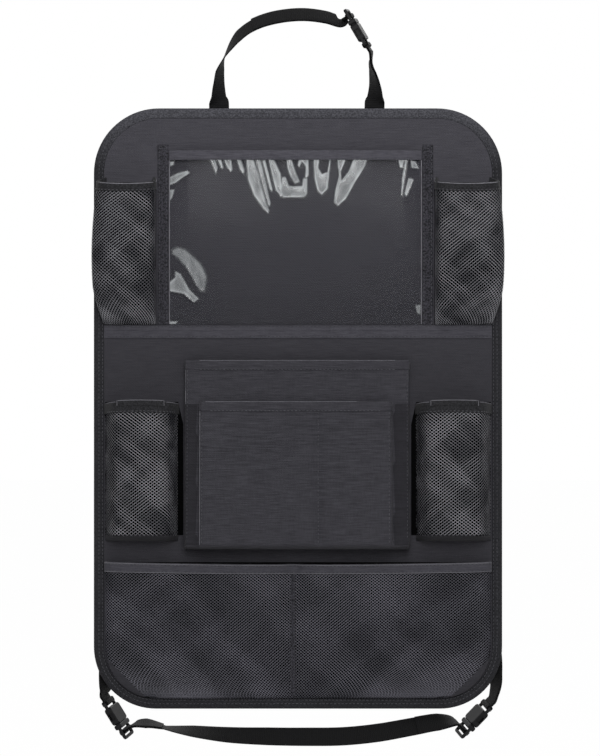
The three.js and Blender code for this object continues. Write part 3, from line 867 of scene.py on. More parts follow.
@dataclass
class PocketForm:
    """The outer face of a pocket, as a surface over its height and the way round its plan."""

    low: float
    high: float
    plan: Sequence[tuple[float, float]]
    span: Callable[[float], tuple[float, float]]
    depth: Callable[[float], float]
    base: Callable[[float], float] = lambda z: FACE
    swell: Callable[[float], float] = lambda z: 1.0
    droop: Callable[[float], float] = lambda s: 0.0
    relief: Callable[[float, float], float] = lambda x, z: 0.0
    foot: float = 5.0
    columns: int = 60
    rows: int = 36
    softness: int = 2

    def foot_share(self, z: float) -> float:
        """How much of its depth the pocket has at a height, because its foot turns back to the mat."""
        rise = clamped((z - self.low) / self.foot)
        return math.sqrt(1 - (1 - rise) ** 2)

    def ring(self, z: float, out: float = 0.0) -> Line:
        """The pocket's plan at a height.

        Args:
            z: The height.
            out: How far outside its face.

        Returns:
            Points from the left seam to the right one.
        """
        x0, x1 = self.span(z)
        deep = self.depth(z) * self.foot_share(z)
        base, swell = self.base(z), self.swell(z)
        corners = []
        for u, v in self.plan:
            within = clamped(u)
            x = x0 + (x1 - x0) * (within + (u - within) * swell)
            corners.append(Vector((x, base - deep * v, z)))
        line = resample(soften(corners, self.softness), self.columns)
        ends = [line[0], *line, line[-1]]
        result = []
        for i, p in enumerate(line):
            along = ends[i + 2] - ends[i]
            normal = Vector((along.y, -along.x, 0)).normalized() if along.length > 1e-6 else FRONT
            moved = p + normal * (out + self.relief(p.x, z) * self.foot_share(z))
            moved.y = min(moved.y, base)
            moved.z += self.sag(i / (self.columns - 1), z)
            result.append(moved)
        return result

    def sag(self, share: float, z: float) -> float:
        """How far the cloth hangs down or is drawn up at a place, most at the mouth."""
        rise = (z - self.low) / (self.high - self.low)
        return self.droop(share) * rise**3

    def heights(self) -> list[float]:
        """The heights of the surface's rows, close together where the foot turns.

        Returns:
            The heights, the lowest first.
        """
        turn = [self.low + self.foot * (1 - math.cos(math.radians(a))) for a in range(0, 90, 15)]
        start = self.low + self.foot
        return turn + [start + (self.high - start) * k / self.rows for k in range(self.rows + 1)]

    def wall(self, thickness: float) -> tuple[Line, Faces]:
        """The pocket's cloth as a closed skin of a given thickness.

        Args:
            thickness: How thick the cloth is.

        Returns:
            The points and faces.
        """
        rings = []
        for z in self.heights():
            rings.append(self.ring(z) + self.ring(z, -thickness)[::-1])
        return sweep(rings)

    def band(self, height: float, inside: float, wall: float = 0.8) -> tuple[Line, Faces]:
        """A tape folded over the pocket's mouth.

        Args:
            height: How far it comes down.
            inside: Thickness of what it is folded over.
            wall: The tape's thickness.

        Returns:
            The points and faces.
        """
        outer, inner = GAP + wall, -inside - GAP - wall
        middle = (outer + inner) / 2
        crown = GAP + wall
        section = [
            (outer, -height), (outer, -height * 0.5), (outer, 0.0),
            (middle + (outer - middle) * 0.7, crown * 0.75), (middle, crown),
            (middle + (inner - middle) * 0.7, crown * 0.75), (inner, 0.0), (inner, -height),
            (inner + wall, -height), (inner + wall, 0.0), (middle, crown - wall), (outer - wall, 0.0),
            (outer - wall, -height),
        ]
        lines = []
        for out, rise in section:
            line = self.ring(self.high + min(rise, 0.0), out)
            lines.append([p + Vector((0, 0, max(rise, 0.0))) for p in line])
        return sweep([[line[k] for line in lines] for k in range(self.columns)])

    def seam(self, z: float, out: float = 0.0, start: float = 0.0, end: float = 1.0) -> Line:
        """A level line on the pocket's face, over a share of its width.

        Args:
            z: The line's height.
            out: How far outside the face.
            start: The share of the way round where it begins.
            end: The share where it ends.

        Returns:
            The line's points.
        """
        line = self.ring(z, out)
        last = len(line) - 1
        return line[round(start * last) : round(end * last) + 1]

    def on_face(self, x: float, z: float, out: float) -> Vector:
        """The point of the pocket's face at a place seen from the front.

        Args:
            x: The place's distance to the right.
            z: Its height.
            out: How far outside the face.

        Returns:
            The point.
        """
        line = self.ring(z, out)
        front = min(p.y for p in line)
        face = [p for p in line if p.y < front + 8]
        for a, b in zip(face, face[1:]):
            if a.x <= x <= b.x:
                return a.lerp(b, (x - a.x) / max(b.x - a.x, 1e-6))
        return min(face, key=lambda p: abs(p.x - x))

    def upright(self, x: float, out: float, low: float, high: float, count: int = 30) -> Line:
        """An upright line on the pocket's face."""
        return [self.on_face(x, low + (high - low) * i / count, out) for i in range(count + 1)]

    def paint_shade_behind(self, name: str, left: float = 0.0, right: float = 0.0, taper: float = 0.0) -> None:
        """Make the black sheet on the mat behind the pocket, which paints the shade inside it.

        Args:
            name: The piece's name.
            left: How far it runs past the pocket's left seam.
            right: How far it runs past the right one.
            taper: Height below the mouth over which it grows that wide, so that the painted shade fades in
                below the mouth.
        """
        near, far = FACE + 0.02, FACE + 0.28
        rings = []
        for z in self.heights():
            x0, x1 = self.span(z)
            share = min((self.high - z) / taper, 1.0) if taper else 1.0
            x0, x1 = x0 - left * share, x1 + right * share
            rings.append([Vector((x, y, z)) for x, y in ((x0, far), (x1, far), (x1, near), (x0, near))])
        settle(new_piece(name, *sweep(rings), Finish.PAINTED_SHADE))

    def shade_skin_inside(self, start: float, end: float, inset: float = 0.35) -> tuple[Line, Faces]:
        """A thin sheet just inside the pocket's wall, over a share of the way round it; made black, it
        paints the shade inside the pocket.

        Args:
            start: The share where it begins, from the left seam.
            end: The share where it ends.
            inset: How far inside the wall.

        Returns:
            The points and faces.
        """
        last = self.columns - 1
        part = slice(round(start * last), round(end * last) + 1)
        rings = []
        for z in self.heights():
            rings.append(self.ring(z, -inset)[part] + self.ring(z, -inset - 0.3)[part][::-1])
        return sweep(rings)

    def band_between(self, x0: float, x1: float, z0: float, z1: float, out: float,
                     count: int = 40) -> tuple[Line, Faces]:
        """A strip that lies on the pocket's face between two heights, one way across it.

        Args:
            x0: Left edge.
            x1: Right edge.
            z0: Lower edge.
            z1: Upper edge.
            out: How far outside the face.
            count: Steps from its lower to its upper edge.

        Returns:
            The points and faces.
        """
        rings = []
        for i in range(count + 1):
            z = z0 + (z1 - z0) * i / count
            line = self.ring(z, out)
            front = min(p.y for p in line)
            face = resample([p for p in line if x0 < p.x < x1 and p.y < front + 5], 8)
            rings.append(face + [p + Vector((0, 0.3, 0)) for p in face[::-1]])
        return sweep(rings)

    def area(self) -> float:
        """The flat area of the pocket's cloth, in square metres.

        Returns:
            The area.
        """
        total = 0.0
        levels = self.heights()
        for z0, z1 in zip(levels, levels[1:]):
            lower, upper = self.ring(z0), self.ring(z1)
            for k in range(self.columns - 1):
                total += (lower[k + 1] - lower[k]).cross(upper[k] - lower[k]).length
        return total * MM * MM


@dataclass
class Net:
    """A knitted net stretched over a pocket's form, modelled yarn by yarn."""

    form: PocketForm
    cell_width: float
    cell_height: float
    radius: float
    top_margin: float
    nodes_per_step: int = 1

    def build(self, name: str, finishes: tuple[Finish, Finish]) -> bpy.types.Object:
        """Make the net as one piece.

        Args:
            name: The piece's name.
            finishes: The finish of the yarns that lean one way, and of those that lean the other.

        Returns:
            The piece.
        """
        levels = self.form.heights()
        grid = [self.form.ring(z) for z in levels]
        middle = grid[len(grid) // 2]
        width = sum((b - a).length for a, b in zip(middle, middle[1:]))
        low, high = levels[0] + 0.5, levels[-1] - self.top_margin
        step_z = self.cell_height / 2 * self.nodes_per_step
        step_p = self.cell_width / 2 * self.nodes_per_step
        count = int((high - low) / step_z)
        slope = step_p / step_z

        def place(p: float, z: float) -> tuple[Vector, Vector]:
            """The point and the outward way at a distance round the pocket and a height.

            Args:
                p: The distance from the left seam.
                z: The height.

            Returns:
                The point and the way.
            """
            row = 0
            while row < len(levels) - 2 and levels[row + 1] < z:
                row += 1
            share = clamped((z - levels[row]) / (levels[row + 1] - levels[row]))
            at = clamped(p / width) * (self.form.columns - 1)
            k = min(int(at), self.form.columns - 2)
            (low_a, low_b), (high_a, high_b) = (line[k : k + 2] for line in grid[row : row + 2])
            point = low_a.lerp(low_b, at - k).lerp(high_a.lerp(high_b, at - k), share)
            normal = (low_b - low_a).cross(high_a - low_a + Vector((0, 0, 1e-3)))
            return point, normal.normalized() if normal.length > 1e-9 else FRONT

        parts = []
        leaning = 0  # faces of the yarns that lean the first way
        reach = count * step_z * slope
        for way, lift in ((1, 0.0), (-1, self.radius * 0.7)):
            leaning = sum(len(some) for _, some in parts)
            first = -reach if way > 0 else 0.0
            strands = int((width + reach) / self.cell_width) + 1
            for k in range(strands):
                rings: list[Line] = []
                for i in range(count + 1):
                    z = low + i * step_z
                    p = first + k * self.cell_width + way * (z - low) * slope
                    if p < 0 or p > width:
                        if len(rings) > 1:
                            parts.append(sweep(rings))
                        rings = []
                        continue
                    point, normal = place(p, z)
                    ahead, _ = place(p + way * slope * 0.5, z + 0.5)
                    along = (ahead - point).normalized()
                    slim = self.radius * (0.4 + 0.6 * abs(normal.y))  # thinner where a side view crowds them
                    beside = along.cross(normal).normalized() * slim
                    up = normal * slim
                    point = point + normal * lift
                    rings.append([point + beside, point + up * 0.8, point - beside, point - up * 0.8])
                if len(rings) > 1:
                    parts.append(sweep(rings))
        piece = new_piece(name, *gather(parts), finishes[0], sharp=80.0)
        piece.data.materials.append(finish_of(finishes[1]))
        for face in piece.data.polygons[leaning:]:
            face.material_index = 1
        return piece


@dataclass(frozen=True)
class CreaseGlint:
    """A creased patch of the film, dented in its shape, with a painted glint: a tongue of painted reflection
    with a brighter painted rim.
    """

    outline: tuple[tuple[float, float], ...]
    strength: float = 1.0
    blur: float = 2.2

    def inside(self, x: float, z: float) -> float:
        """How far inside the patch a place is, below nothing where it lies outside.

        Args:
            x: The place's distance to the right.
            z: Its height.

        Returns:
            The distance to the patch's outline, negative outside.
        """
        within = False
        nearest = 1e9
        before = self.outline[-1]
        for here in self.outline:
            (ax, az), (bx, bz) = before, here
            if (az > z) != (bz > z) and x < ax + (bx - ax) * (z - az) / (bz - az):
                within = not within
            dx, dz = bx - ax, bz - az
            share = clamped(((x - ax) * dx + (z - az) * dz) / (dx * dx + dz * dz))
            nearest = min(nearest, math.hypot(x - ax - share * dx, z - az - share * dz))
            before = here
        return nearest if within else -nearest

    def near(self, x: float, z: float) -> bool:
        """Whether a place is close enough to matter.

        Args:
            x: The place's distance to the right.
            z: Its height.

        Returns:
            Whether it is.
        """
        xs = [p[0] for p in self.outline]
        zs = [p[1] for p in self.outline]
        edge = self.blur / 2
        return min(xs) - edge < x < max(xs) + edge and min(zs) - edge < z < max(zs) + edge

    def at(self, x: float, z: float) -> float:
        """How much this patch dents the film and paints its glint at a place.

        Args:
            x: The place's distance to the right.
            z: Its height.

        Returns:
            The amount, from 0 to 1.
        """
        if not self.near(x, z):
            return 0.0
        away = self.inside(x, z)
        share = clamped((away + self.blur / 2) / self.blur)
        body = share * share * (3 - 2 * share)
        rim = math.exp(-abs(away - 1.0) / 1.5)
        mottle = 0.5 + 0.5 * noise.noise(Vector((x / 5, z / 16, 0.5)))
        return self.strength * body * (0.36 + 0.3 * rim + 0.4 * mottle)


# The outlines of the film's creases, whose glints are painted into its colour and alpha as reflections.
CREASE_GLINTS = (
    CreaseGlint(((-89, 251), (-83, 251), (-80, 240), (-81.5, 233))),
    CreaseGlint(((-82, 251), (-76.5, 251), (-74.2, 240), (-75.5, 238))),
    CreaseGlint(((-75, 251), (-66.5, 251), (-65.3, 238), (-67, 236), (-71, 241))),
    CreaseGlint(((-62, 251), (-57.5, 251), (-53, 237), (-54, 233.5), (-58, 238))),
    CreaseGlint(((-52, 251), (-45, 251), (-39, 234), (-34, 214), (-28.5, 197), (-30, 195), (-34, 199),
            (-44, 212), (-50, 228)), blur=3.5),
    CreaseGlint(((-43, 251), (-38, 251), (-32, 227), (-27, 204), (-29, 201), (-33, 214)), 0.9),
    CreaseGlint(((-36, 248), (-32.5, 248), (-25, 218), (-26, 216), (-28.5, 219))),
    CreaseGlint(((-30, 251), (-25, 251), (-17, 234), (-15.5, 214), (-17, 211), (-22.5, 218), (-27, 236))),
    CreaseGlint(((-16, 231), (-12, 231), (-9, 222), (4, 222), (5, 230), (9.5, 230), (9.5, 214), (6, 210.5),
            (-15, 210.5), (-18, 216)), 0.95),
    CreaseGlint(((-12, 251), (-7, 251), (-2, 236), (2, 226), (-3, 224), (-8, 232), (-11, 240)), 0.85),
    CreaseGlint(((1, 251), (10.5, 251), (11, 232), (7, 229), (7.5, 241), (4, 246), (1.5, 240), (-0.5, 243))),
    CreaseGlint(((15, 251), (22, 251), (20.5, 240), (24, 234), (29, 236), (31.5, 251), (33.3, 251), (31.6, 235),
            (30, 219), (24, 213), (19, 217), (15.9, 230))),
    CreaseGlint(((38.5, 251), (49, 251), (43, 236), (43.5, 228), (50, 236), (56, 251), (70, 251), (67, 241),
            (58, 227), (48, 209), (40, 202), (35.5, 206), (37, 218), (40.5, 232))),
    CreaseGlint(((99, 251), (106, 251), (104.5, 240), (101.5, 240))),
    CreaseGlint(((107, 251), (109.5, 251), (106, 225), (104.2, 212), (102.3, 213), (103.5, 230))),
    CreaseGlint(((112, 248), (118, 246), (121, 239), (113, 240))),
    CreaseGlint(((110, 230), (115.5, 229), (108, 211), (105.8, 214))),
    CreaseGlint(((-131, 246), (-123, 247), (-124, 243), (-131, 241))),
    CreaseGlint(((-131, 230), (-120, 235), (-110, 237.5), (-107.5, 235), (-115, 230), (-122, 225),
            (-131, 222))),
    CreaseGlint(((-131, 218), (-123, 219), (-125, 211), (-131, 202))),
    CreaseGlint(((-126, 158), (-120, 160.5), (-113.5, 159), (-104, 151), (-97, 144), (-91, 131), (-93, 118),
            (-97, 118), (-103.5, 128), (-110, 140), (-121, 151.5), (-125, 154)), 0.85, blur=7.0),
    CreaseGlint(((-122.6, 137.5), (-116.8, 134.2), (-108.5, 119.2), (-98.6, 109.3), (-103.6, 106),
            (-113.5, 114.3), (-131, 117.5), (-131, 124.2), (-122.6, 130.9))),
    CreaseGlint(((-131, 87.5), (-120, 87), (-122, 84.5), (-131, 84))),
    CreaseGlint(((117, 103), (123, 104), (122, 94), (119, 95)), 0.8),
)


def painted_glint_at_creases(x: float, z: float) -> float:
    """How far the film is dented and painted with a glint at a place, from 0 to 1."""
    return max(glint_mask.at(x, z) for glint_mask in CREASE_GLINTS)


@dataclass
class TabletPocket:
    """The clear film pocket with its hem and the tapes that hold its sides."""

    left: float = -129.1
    right: float = 123.9
    top: float = 257.5
    height: float = 174.0
    film: float = 0.5
    hem: float = 9.5
    tape: float = 10.8
    tape_above: float = 6.0
    cross_height: float = 13.0
    tape_thickness: float = 0.8
    tape_seam: float = 1.6  # from each stitched line to the tape's edge

    def build(self) -> None:
        """Make the film, its hem, the tapes and their stitches."""
        low = self.top - self.height
        form = PocketForm(
            low=low, high=self.top - CLEAR,
            plan=[(0, 0.3), (0.03, 0.75), (0.09, 1), (0.91, 1), (0.97, 0.75), (1, 0.3)],
            span=lambda z: (self.left + CLEAR, self.right - CLEAR),
            depth=lambda z: blend_between(3.0, 8.0, eased(z, low, low + 30)),
            foot=2.0, columns=250, rows=160,
        )
        area = form.area()
        form.relief = lambda x, z: noise.noise(Vector((x / 55, 0.3, z / 70))) * 0.5 - 0.7 * painted_glint_at_creases(x, z)
        film = new_piece("tablet_film", *form.wall(self.film), Finish.FILM, sharp=80.0)
        # each point's painted glint, which the film's colour and alpha show as painted reflections
        glint_mask = film.data.attributes.new("glint_mask", "FLOAT", "POINT")
        for vertex, value in zip(film.data.vertices, glint_mask.data):
            value.value = painted_glint_at_creases(vertex.co.x / MM, vertex.co.z / MM)
        settle(film, ["tablet_window"])

        form.columns = 60
        form.relief = lambda x, z: 0.0
        hem = new_piece("tablet_hem_tape", *form.band(self.hem - CLEAR, self.film), Finish.HEM)
        settle(hem, ["tablet_hem"])

        near, far = FACE - self.tape_thickness, FACE
        top = self.top + self.tape_above
        sides = []
        for name, x0 in (("left", self.left - GAP - self.tape), ("right", self.right + GAP)):
            strip = pillow(x0, x0 + self.tape, low, top, far, near)
            tape = new_piece(f"side_tape_{name}", *strip, Finish.TAPE)
            settle(tape, [f"tablet_tape_{name}"])
            ends = (x0 + self.tape_seam, x0 + self.tape - self.tape_seam)
            for x in ends:
                sides.append(([Vector((x, near, low)), Vector((x, near, top - 1.5))], FRONT))
            for drop in (1.5, 4.0, 6.5):
                sides.append(([Vector((x, near, top - drop)) for x in ends], FRONT))
        cross_top = low - GAP
        cross = pillow(-INNER, INNER, cross_top - self.cross_height, cross_top, far, near)
        settle(new_piece("cross_tape_band", *cross, Finish.HEM), ["cross_tape"])
        for z in (cross_top - 1.4, cross_top - self.cross_height + 1.6):
            sides.append(([Vector((x, near, z)) for x in (1 - INNER, INNER - 1)], FRONT))
        sides.append((form.seam(form.high - self.hem + CLEAR + 1.2, CLEAR, 0.02, 0.98), FRONT))
        settle(stitched("tablet_stitches", sides))

        folds = []
        for x in (self.left + 0.7, self.right - 0.7):
            folds.append(([Vector((x, FACE - 1.2, z)) for z in (low + 1, self.top - self.hem)], FRONT))
        # The pale strands along the film's sides paint the highlights on its welded edges.
        settle(fold_lines("film_edge_painted_highlights", folds, radius=0.45))
        folds = []
        for drop in (0.5, 5.5, 11.4):
            z = cross_top - drop
            folds.append(([Vector((x, near, z)) for x in (0.5 - INNER, INNER - 0.5)], FRONT))
        settle(fold_lines("cross_tape_ribs", folds, Finish.HEM, 0.35))


@dataclass
class UpperNets:
    """The two net pockets beside the film, which bulge past the mat's edge."""

    seam_left: float = -140.5
    seam_right: float = 135.3
    low: float = 83.5
    high: float = 226.0
    depth: float = 30.0
    foot_depth: float = 8.0
    bulge: float = 13.0
    hem: float = 8.0
    cell: tuple[float, float] = (4.2, 3.4)  # real cells are about 3 mm wide, drawn coarser so that they show
    yarn: float = 0.26  # half of a yarn's thickness

    def rise(self, z: float) -> float:
        """The pocket's depth at a height."""
        full = self.low + (self.high - self.low) * 0.6
        return blend_between(self.foot_depth, self.depth, eased(z, self.low, full))

    def build(self) -> None:
        """Make both nets and their hems, the right one a mirror image of the left."""
        places = {"left": (-INNER, self.seam_left - CLEAR), "right": (self.seam_right + CLEAR, INNER)}
        for name, (x0, x1) in places.items():
            b = self.bulge / (x1 - x0)
            plan = [
                (0.02, 0), (-b * 0.7, 0.25), (-b, 0.55), (-b * 0.3, 0.85), (0.16, 1),
                (0.8, 1), (0.95, 0.9), (1, 0.5), (0.97, 0),
            ]
            if name == "right":
                plan = [(1 - u, v) for u, v in plan[::-1]]
            form = PocketForm(
                low=self.low, high=self.high, plan=plan, span=lambda z, ends=(x0, x1): ends, depth=self.rise,
                swell=lambda z: eased(z, self.low, self.low + 40) * (1 - 0.4 * ((z - 150) / 66) ** 2),
                droop=lambda s: 4.0 * (abs(2 * s - 1) ** 3) - 3.2 * math.sin(math.pi * s), foot=10.0,
            )
            net = Net(form, *self.cell, self.yarn, self.hem - 1)
            netting = net.build(f"upper_netting_{name}", (Finish.NET_LEFT, Finish.NET_RIGHT))
            settle(netting, [f"upper_net_{name}"])
            # Black sheets behind the net and inside its outer wall paint the shade inside the pocket.
            form.paint_shade_behind(f"upper_net_painted_shade_sheet_{name}")
            side = (0.0, 0.4) if name == "left" else (0.6, 1.0)
            wall_shade = new_piece(f"upper_net_wall_painted_shade_{name}", *form.shade_skin_inside(*side), Finish.PAINTED_SHADE)
            settle(wall_shade)
            hem = new_piece(f"upper_net_hem_{name}", *form.band(self.hem, 1.0), Finish.DARK_HEM)
            settle(hem, [f"upper_hem_{name}"])
            seam = (form.seam(self.high - self.hem + 1.3, CLEAR, 0.1, 0.9), FRONT)
            settle(stitched(f"upper_net_stitches_{name}", [seam]))
            # A pale strand along the hem's top paints the highlight on its fold.
            fold = [(form.seam(self.high, CLEAR - 0.2), FRONT)]
            settle(fold_lines(f"upper_net_painted_fold_highlight_{name}", fold, radius=0.45))


@dataclass
class ClothPockets:
    """The large cloth pocket and the smaller one on its front, with its stitched divider."""

    offset: float = -0.8
    width: float = 224.5
    high: float = 47.5
    height: float = 188.0
    mouth_depth: float = 10.0
    base_depth: float = 23.0
    cloth: float = 1.2
    front_offset: float = -2.5
    front_width: float = 193.0
    front_high: float = 6.5
    front_height: float = 144.0
    front_depth: float = 9.0
    divider_x: float = 20.0

    def lean(self, z: float) -> float:
        """The large pocket's depth at a height."""
        share = (z - self.high + self.height) / self.height
        return blend_between(self.base_depth, self.mouth_depth, share)

    def build(self) -> None:
        """Make both pockets, their folded hems and their stitches."""
        low = self.high - self.height
        x0, x1 = self.offset - self.width / 2, self.offset + self.width / 2

        def slack(x: float, z: float) -> float:
            """The soft waves of cloth that hangs by its edges."""
            return noise.noise(Vector((x / 45, 1.7, z / 60))) * 0.9

        large = PocketForm(
            low=low, high=self.high,
            plan=[(0.02, 0), (0.005, 0.45), (0, 0.8), (0.006, 1), (0.1, 1.0), (0.9, 1.0), (0.994, 1),
                  (1, 0.8), (0.995, 0.45), (0.98, 0)],
            span=lambda z: (x0, x1), depth=self.lean, relief=lambda x, z: slack(x, z) - 0.6,
            foot=6.0, columns=110, rows=60, softness=2,
        )
        panel = new_piece("large_pocket_cloth", *large.wall(self.cloth), Finish.POCKET_CLOTH)
        settle(panel, ["large_pocket"])
        large.area()
        self.fold(large, "large_pocket_fold")

        divide = 0.5 + (self.divider_x - self.front_offset) / self.front_width
        f0 = self.front_offset - self.front_width / 2
        f1 = f0 + self.front_width
        front = PocketForm(
            low=self.front_high - self.front_height, high=self.front_high,
            plan=[(0.006, 0), (0, 0.5), (0.008, 0.9), (0.04, 1), (divide - 0.05, 1),
                  (divide - 0.012, 0.7), (divide, 0.55), (divide + 0.012, 0.7), (divide + 0.05, 1),
                  (0.96, 1), (0.992, 0.9), (1, 0.5), (0.994, 0)],
            span=lambda z: (f0, f1), depth=lambda z: self.front_depth - 1.0,
            base=lambda z: FACE - self.lean(z) - GAP, relief=lambda x, z: slack(x + 200, z) - 0.5,
            foot=4.0, columns=110, rows=50, softness=2,
        )
        cover = new_piece("front_pocket_cloth", *front.wall(self.cloth), Finish.POCKET_CLOTH)
        settle(cover, ["front_pocket"])
        front.area()
        self.fold(front, "front_pocket_fold")

        # Pale strands along the pockets' top and left edges paint the highlights on their folds.
        folds = [
            (large.seam(large.high + 0.4, 0.2, 0.1, 0.9), FRONT),
            (front.seam(front.high + 0.4, 0.2, 0.06, 0.8), FRONT),
            (front.upright(f0 + 1.6, 0.1, front.low + 3, front.high), FRONT),
            (large.upright(x0 + 0.9, 0.1, large.low + 3, large.high), FRONT),
        ]
        settle(fold_lines("pocket_painted_fold_highlights", folds, radius=0.4))
        # Dark strips on the large pocket beside the front one, which paint the shade that the front pocket
        # casts.
        shades = [
            large.band_between(x0, f0 - 0.4, front.low - 1, front.high - 2, 0.45),
            large.band_between(f1 + 0.4, x1, front.low - 1, front.high - 2, 0.45),
        ]
        settle(new_piece("front_pocket_painted_shade", *gather(shades), Finish.SHADE_PAINTED_CLOTH))
        seams = []
        for form, xs in ((large, (x0 + 2.8, x1 - 2.8)), (front, (f0 + 3.6, self.divider_x, f1 - 3.6))):
            for x in xs:
                seams.append((form.upright(x, 0.1, form.low + 4, form.high - 1), FRONT))
        seams.append((large.seam(large.high - 8.5, 0.8, 0.1, 0.9), FRONT))
        seams.append((front.seam(front.high - 8.5, 0.8, 0.08, 0.92), FRONT))
        settle(stitched("pocket_stitches", seams))

    def fold(self, form: PocketForm, name: str) -> None:
        """Make the cloth that is folded over a pocket's mouth."""
        edge = new_piece(name, *form.band(8.5, self.cloth, wall=0.5), Finish.POCKET_CLOTH)
        settle(edge)


@dataclass
class SideNets:
    """The box-shaped net pockets beside the cloth ones, each on a cloth gusset."""

    high: float = 6.5
    height: float = 139.0
    depth: float = 24.0
    foot_depth: float = 8.0
    gusset: float = 6.0
    hem: float = 10.0
    cell: tuple[float, float] = (4.2, 3.2)  # real cells are about 3 mm wide, drawn coarser so that they show
    yarn: float = 0.25  # half of a yarn's thickness
    reach: float = 117.75
    offset: float = -0.8

    def build(self) -> None:
        """Make both nets, their gussets, hems and stitches."""
        low = self.high - self.height
        places = {
            "left": (-INNER + CLEAR, self.offset - self.reach - CLEAR),
            "right": (self.offset + self.reach + CLEAR, INNER - CLEAR),
        }
        plan = [(0, 0), (0.05, 0.45), (0.14, 0.9), (0.25, 1), (0.75, 1), (0.86, 0.9), (0.95, 0.45), (1, 0)]

        def deep(z: float) -> float:
            """The pocket's depth at a height."""
            return blend_between(self.foot_depth, self.depth, clamped((z - low) / self.gusset))

        for name, ends in places.items():
            form = PocketForm(
                low=low + self.gusset, high=self.high, plan=plan, span=lambda z, both=ends: both, depth=deep,
                droop=lambda s: -3.0 * abs(2 * s - 1) ** 2, foot=0.5,
            )
            net = Net(form, *self.cell, self.yarn, self.hem - 1)
            netting = net.build(f"side_netting_{name}", (Finish.NET_LEFT, Finish.NET_RIGHT))
            settle(netting, [f"side_net_{name}"])
            inward = 5.0  # the painted shade covers the mat as far as the large pocket, in the gap between them
            left, right = (0.0, inward) if name == "left" else (inward, 0.0)
            # Black sheets paint the shade inside the pocket and in the gap beside the large pocket.
            form.paint_shade_behind(f"side_net_painted_shade_sheet_{name}", left, right, taper=22.0)
            side = (0.0, 0.2) if name == "left" else (0.8, 1.0)
            wall_shade = new_piece(f"side_net_wall_painted_shade_{name}", *form.shade_skin_inside(*side), Finish.PAINTED_SHADE)
            settle(wall_shade)
            hem = new_piece(f"side_net_hem_{name}", *form.band(self.hem, 1.0), Finish.DARK_HEM)
            settle(hem, [f"side_hem_{name}"])
            base = PocketForm(
                low=low, high=low + self.gusset, plan=plan, span=lambda z, both=ends: both, depth=deep,
                foot=3.0, rows=6,
            )
            # The gusset is drawn in the darker copy of the cloth, which paints the shade under the net
            # pocket.
            cloth = new_piece(f"side_gusset_cloth_{name}", *base.wall(1.0), Finish.SHADE_PAINTED_CLOTH)
            settle(cloth, [f"side_gusset_{name}"])
            fold = form.seam(self.high, CLEAR + 0.2, 0.27, 0.73)
            lip = []
            section = ((0, -3.5), (-0.7, -3.0), (-0.7, 2.4), (0.6, 2.9), (0.6, -3.5))
            for p in fold:
                lip.append([p + Vector((0, y, z)) for y, z in section])
            settle(new_piece(f"side_net_lip_{name}", *sweep(lip), Finish.DARK_HEM))
            # Pale strands round the lip and along the hem paint the highlights on their edges.
            rim = [p + Vector((0, -0.7, 2.2)) for p in fold]
            rim = [rim[0] - Vector((0, 0, 5))] + rim + [rim[-1] - Vector((0, 0, 5))]
            edges = [(rim, FRONT), (form.seam(self.high + 0.8, CLEAR - 0.4, 0.02, 0.26), FRONT),
                     (form.seam(self.high + 0.8, CLEAR - 0.4, 0.74, 0.98), FRONT)]
            settle(fold_lines(f"side_net_painted_edge_highlights_{name}", edges, radius=0.4))
            seams = [(form.seam(self.high - self.hem + 1.4, CLEAR, 0.1, 0.9), FRONT)]
            settle(stitched(f"side_net_stitches_{name}", seams))


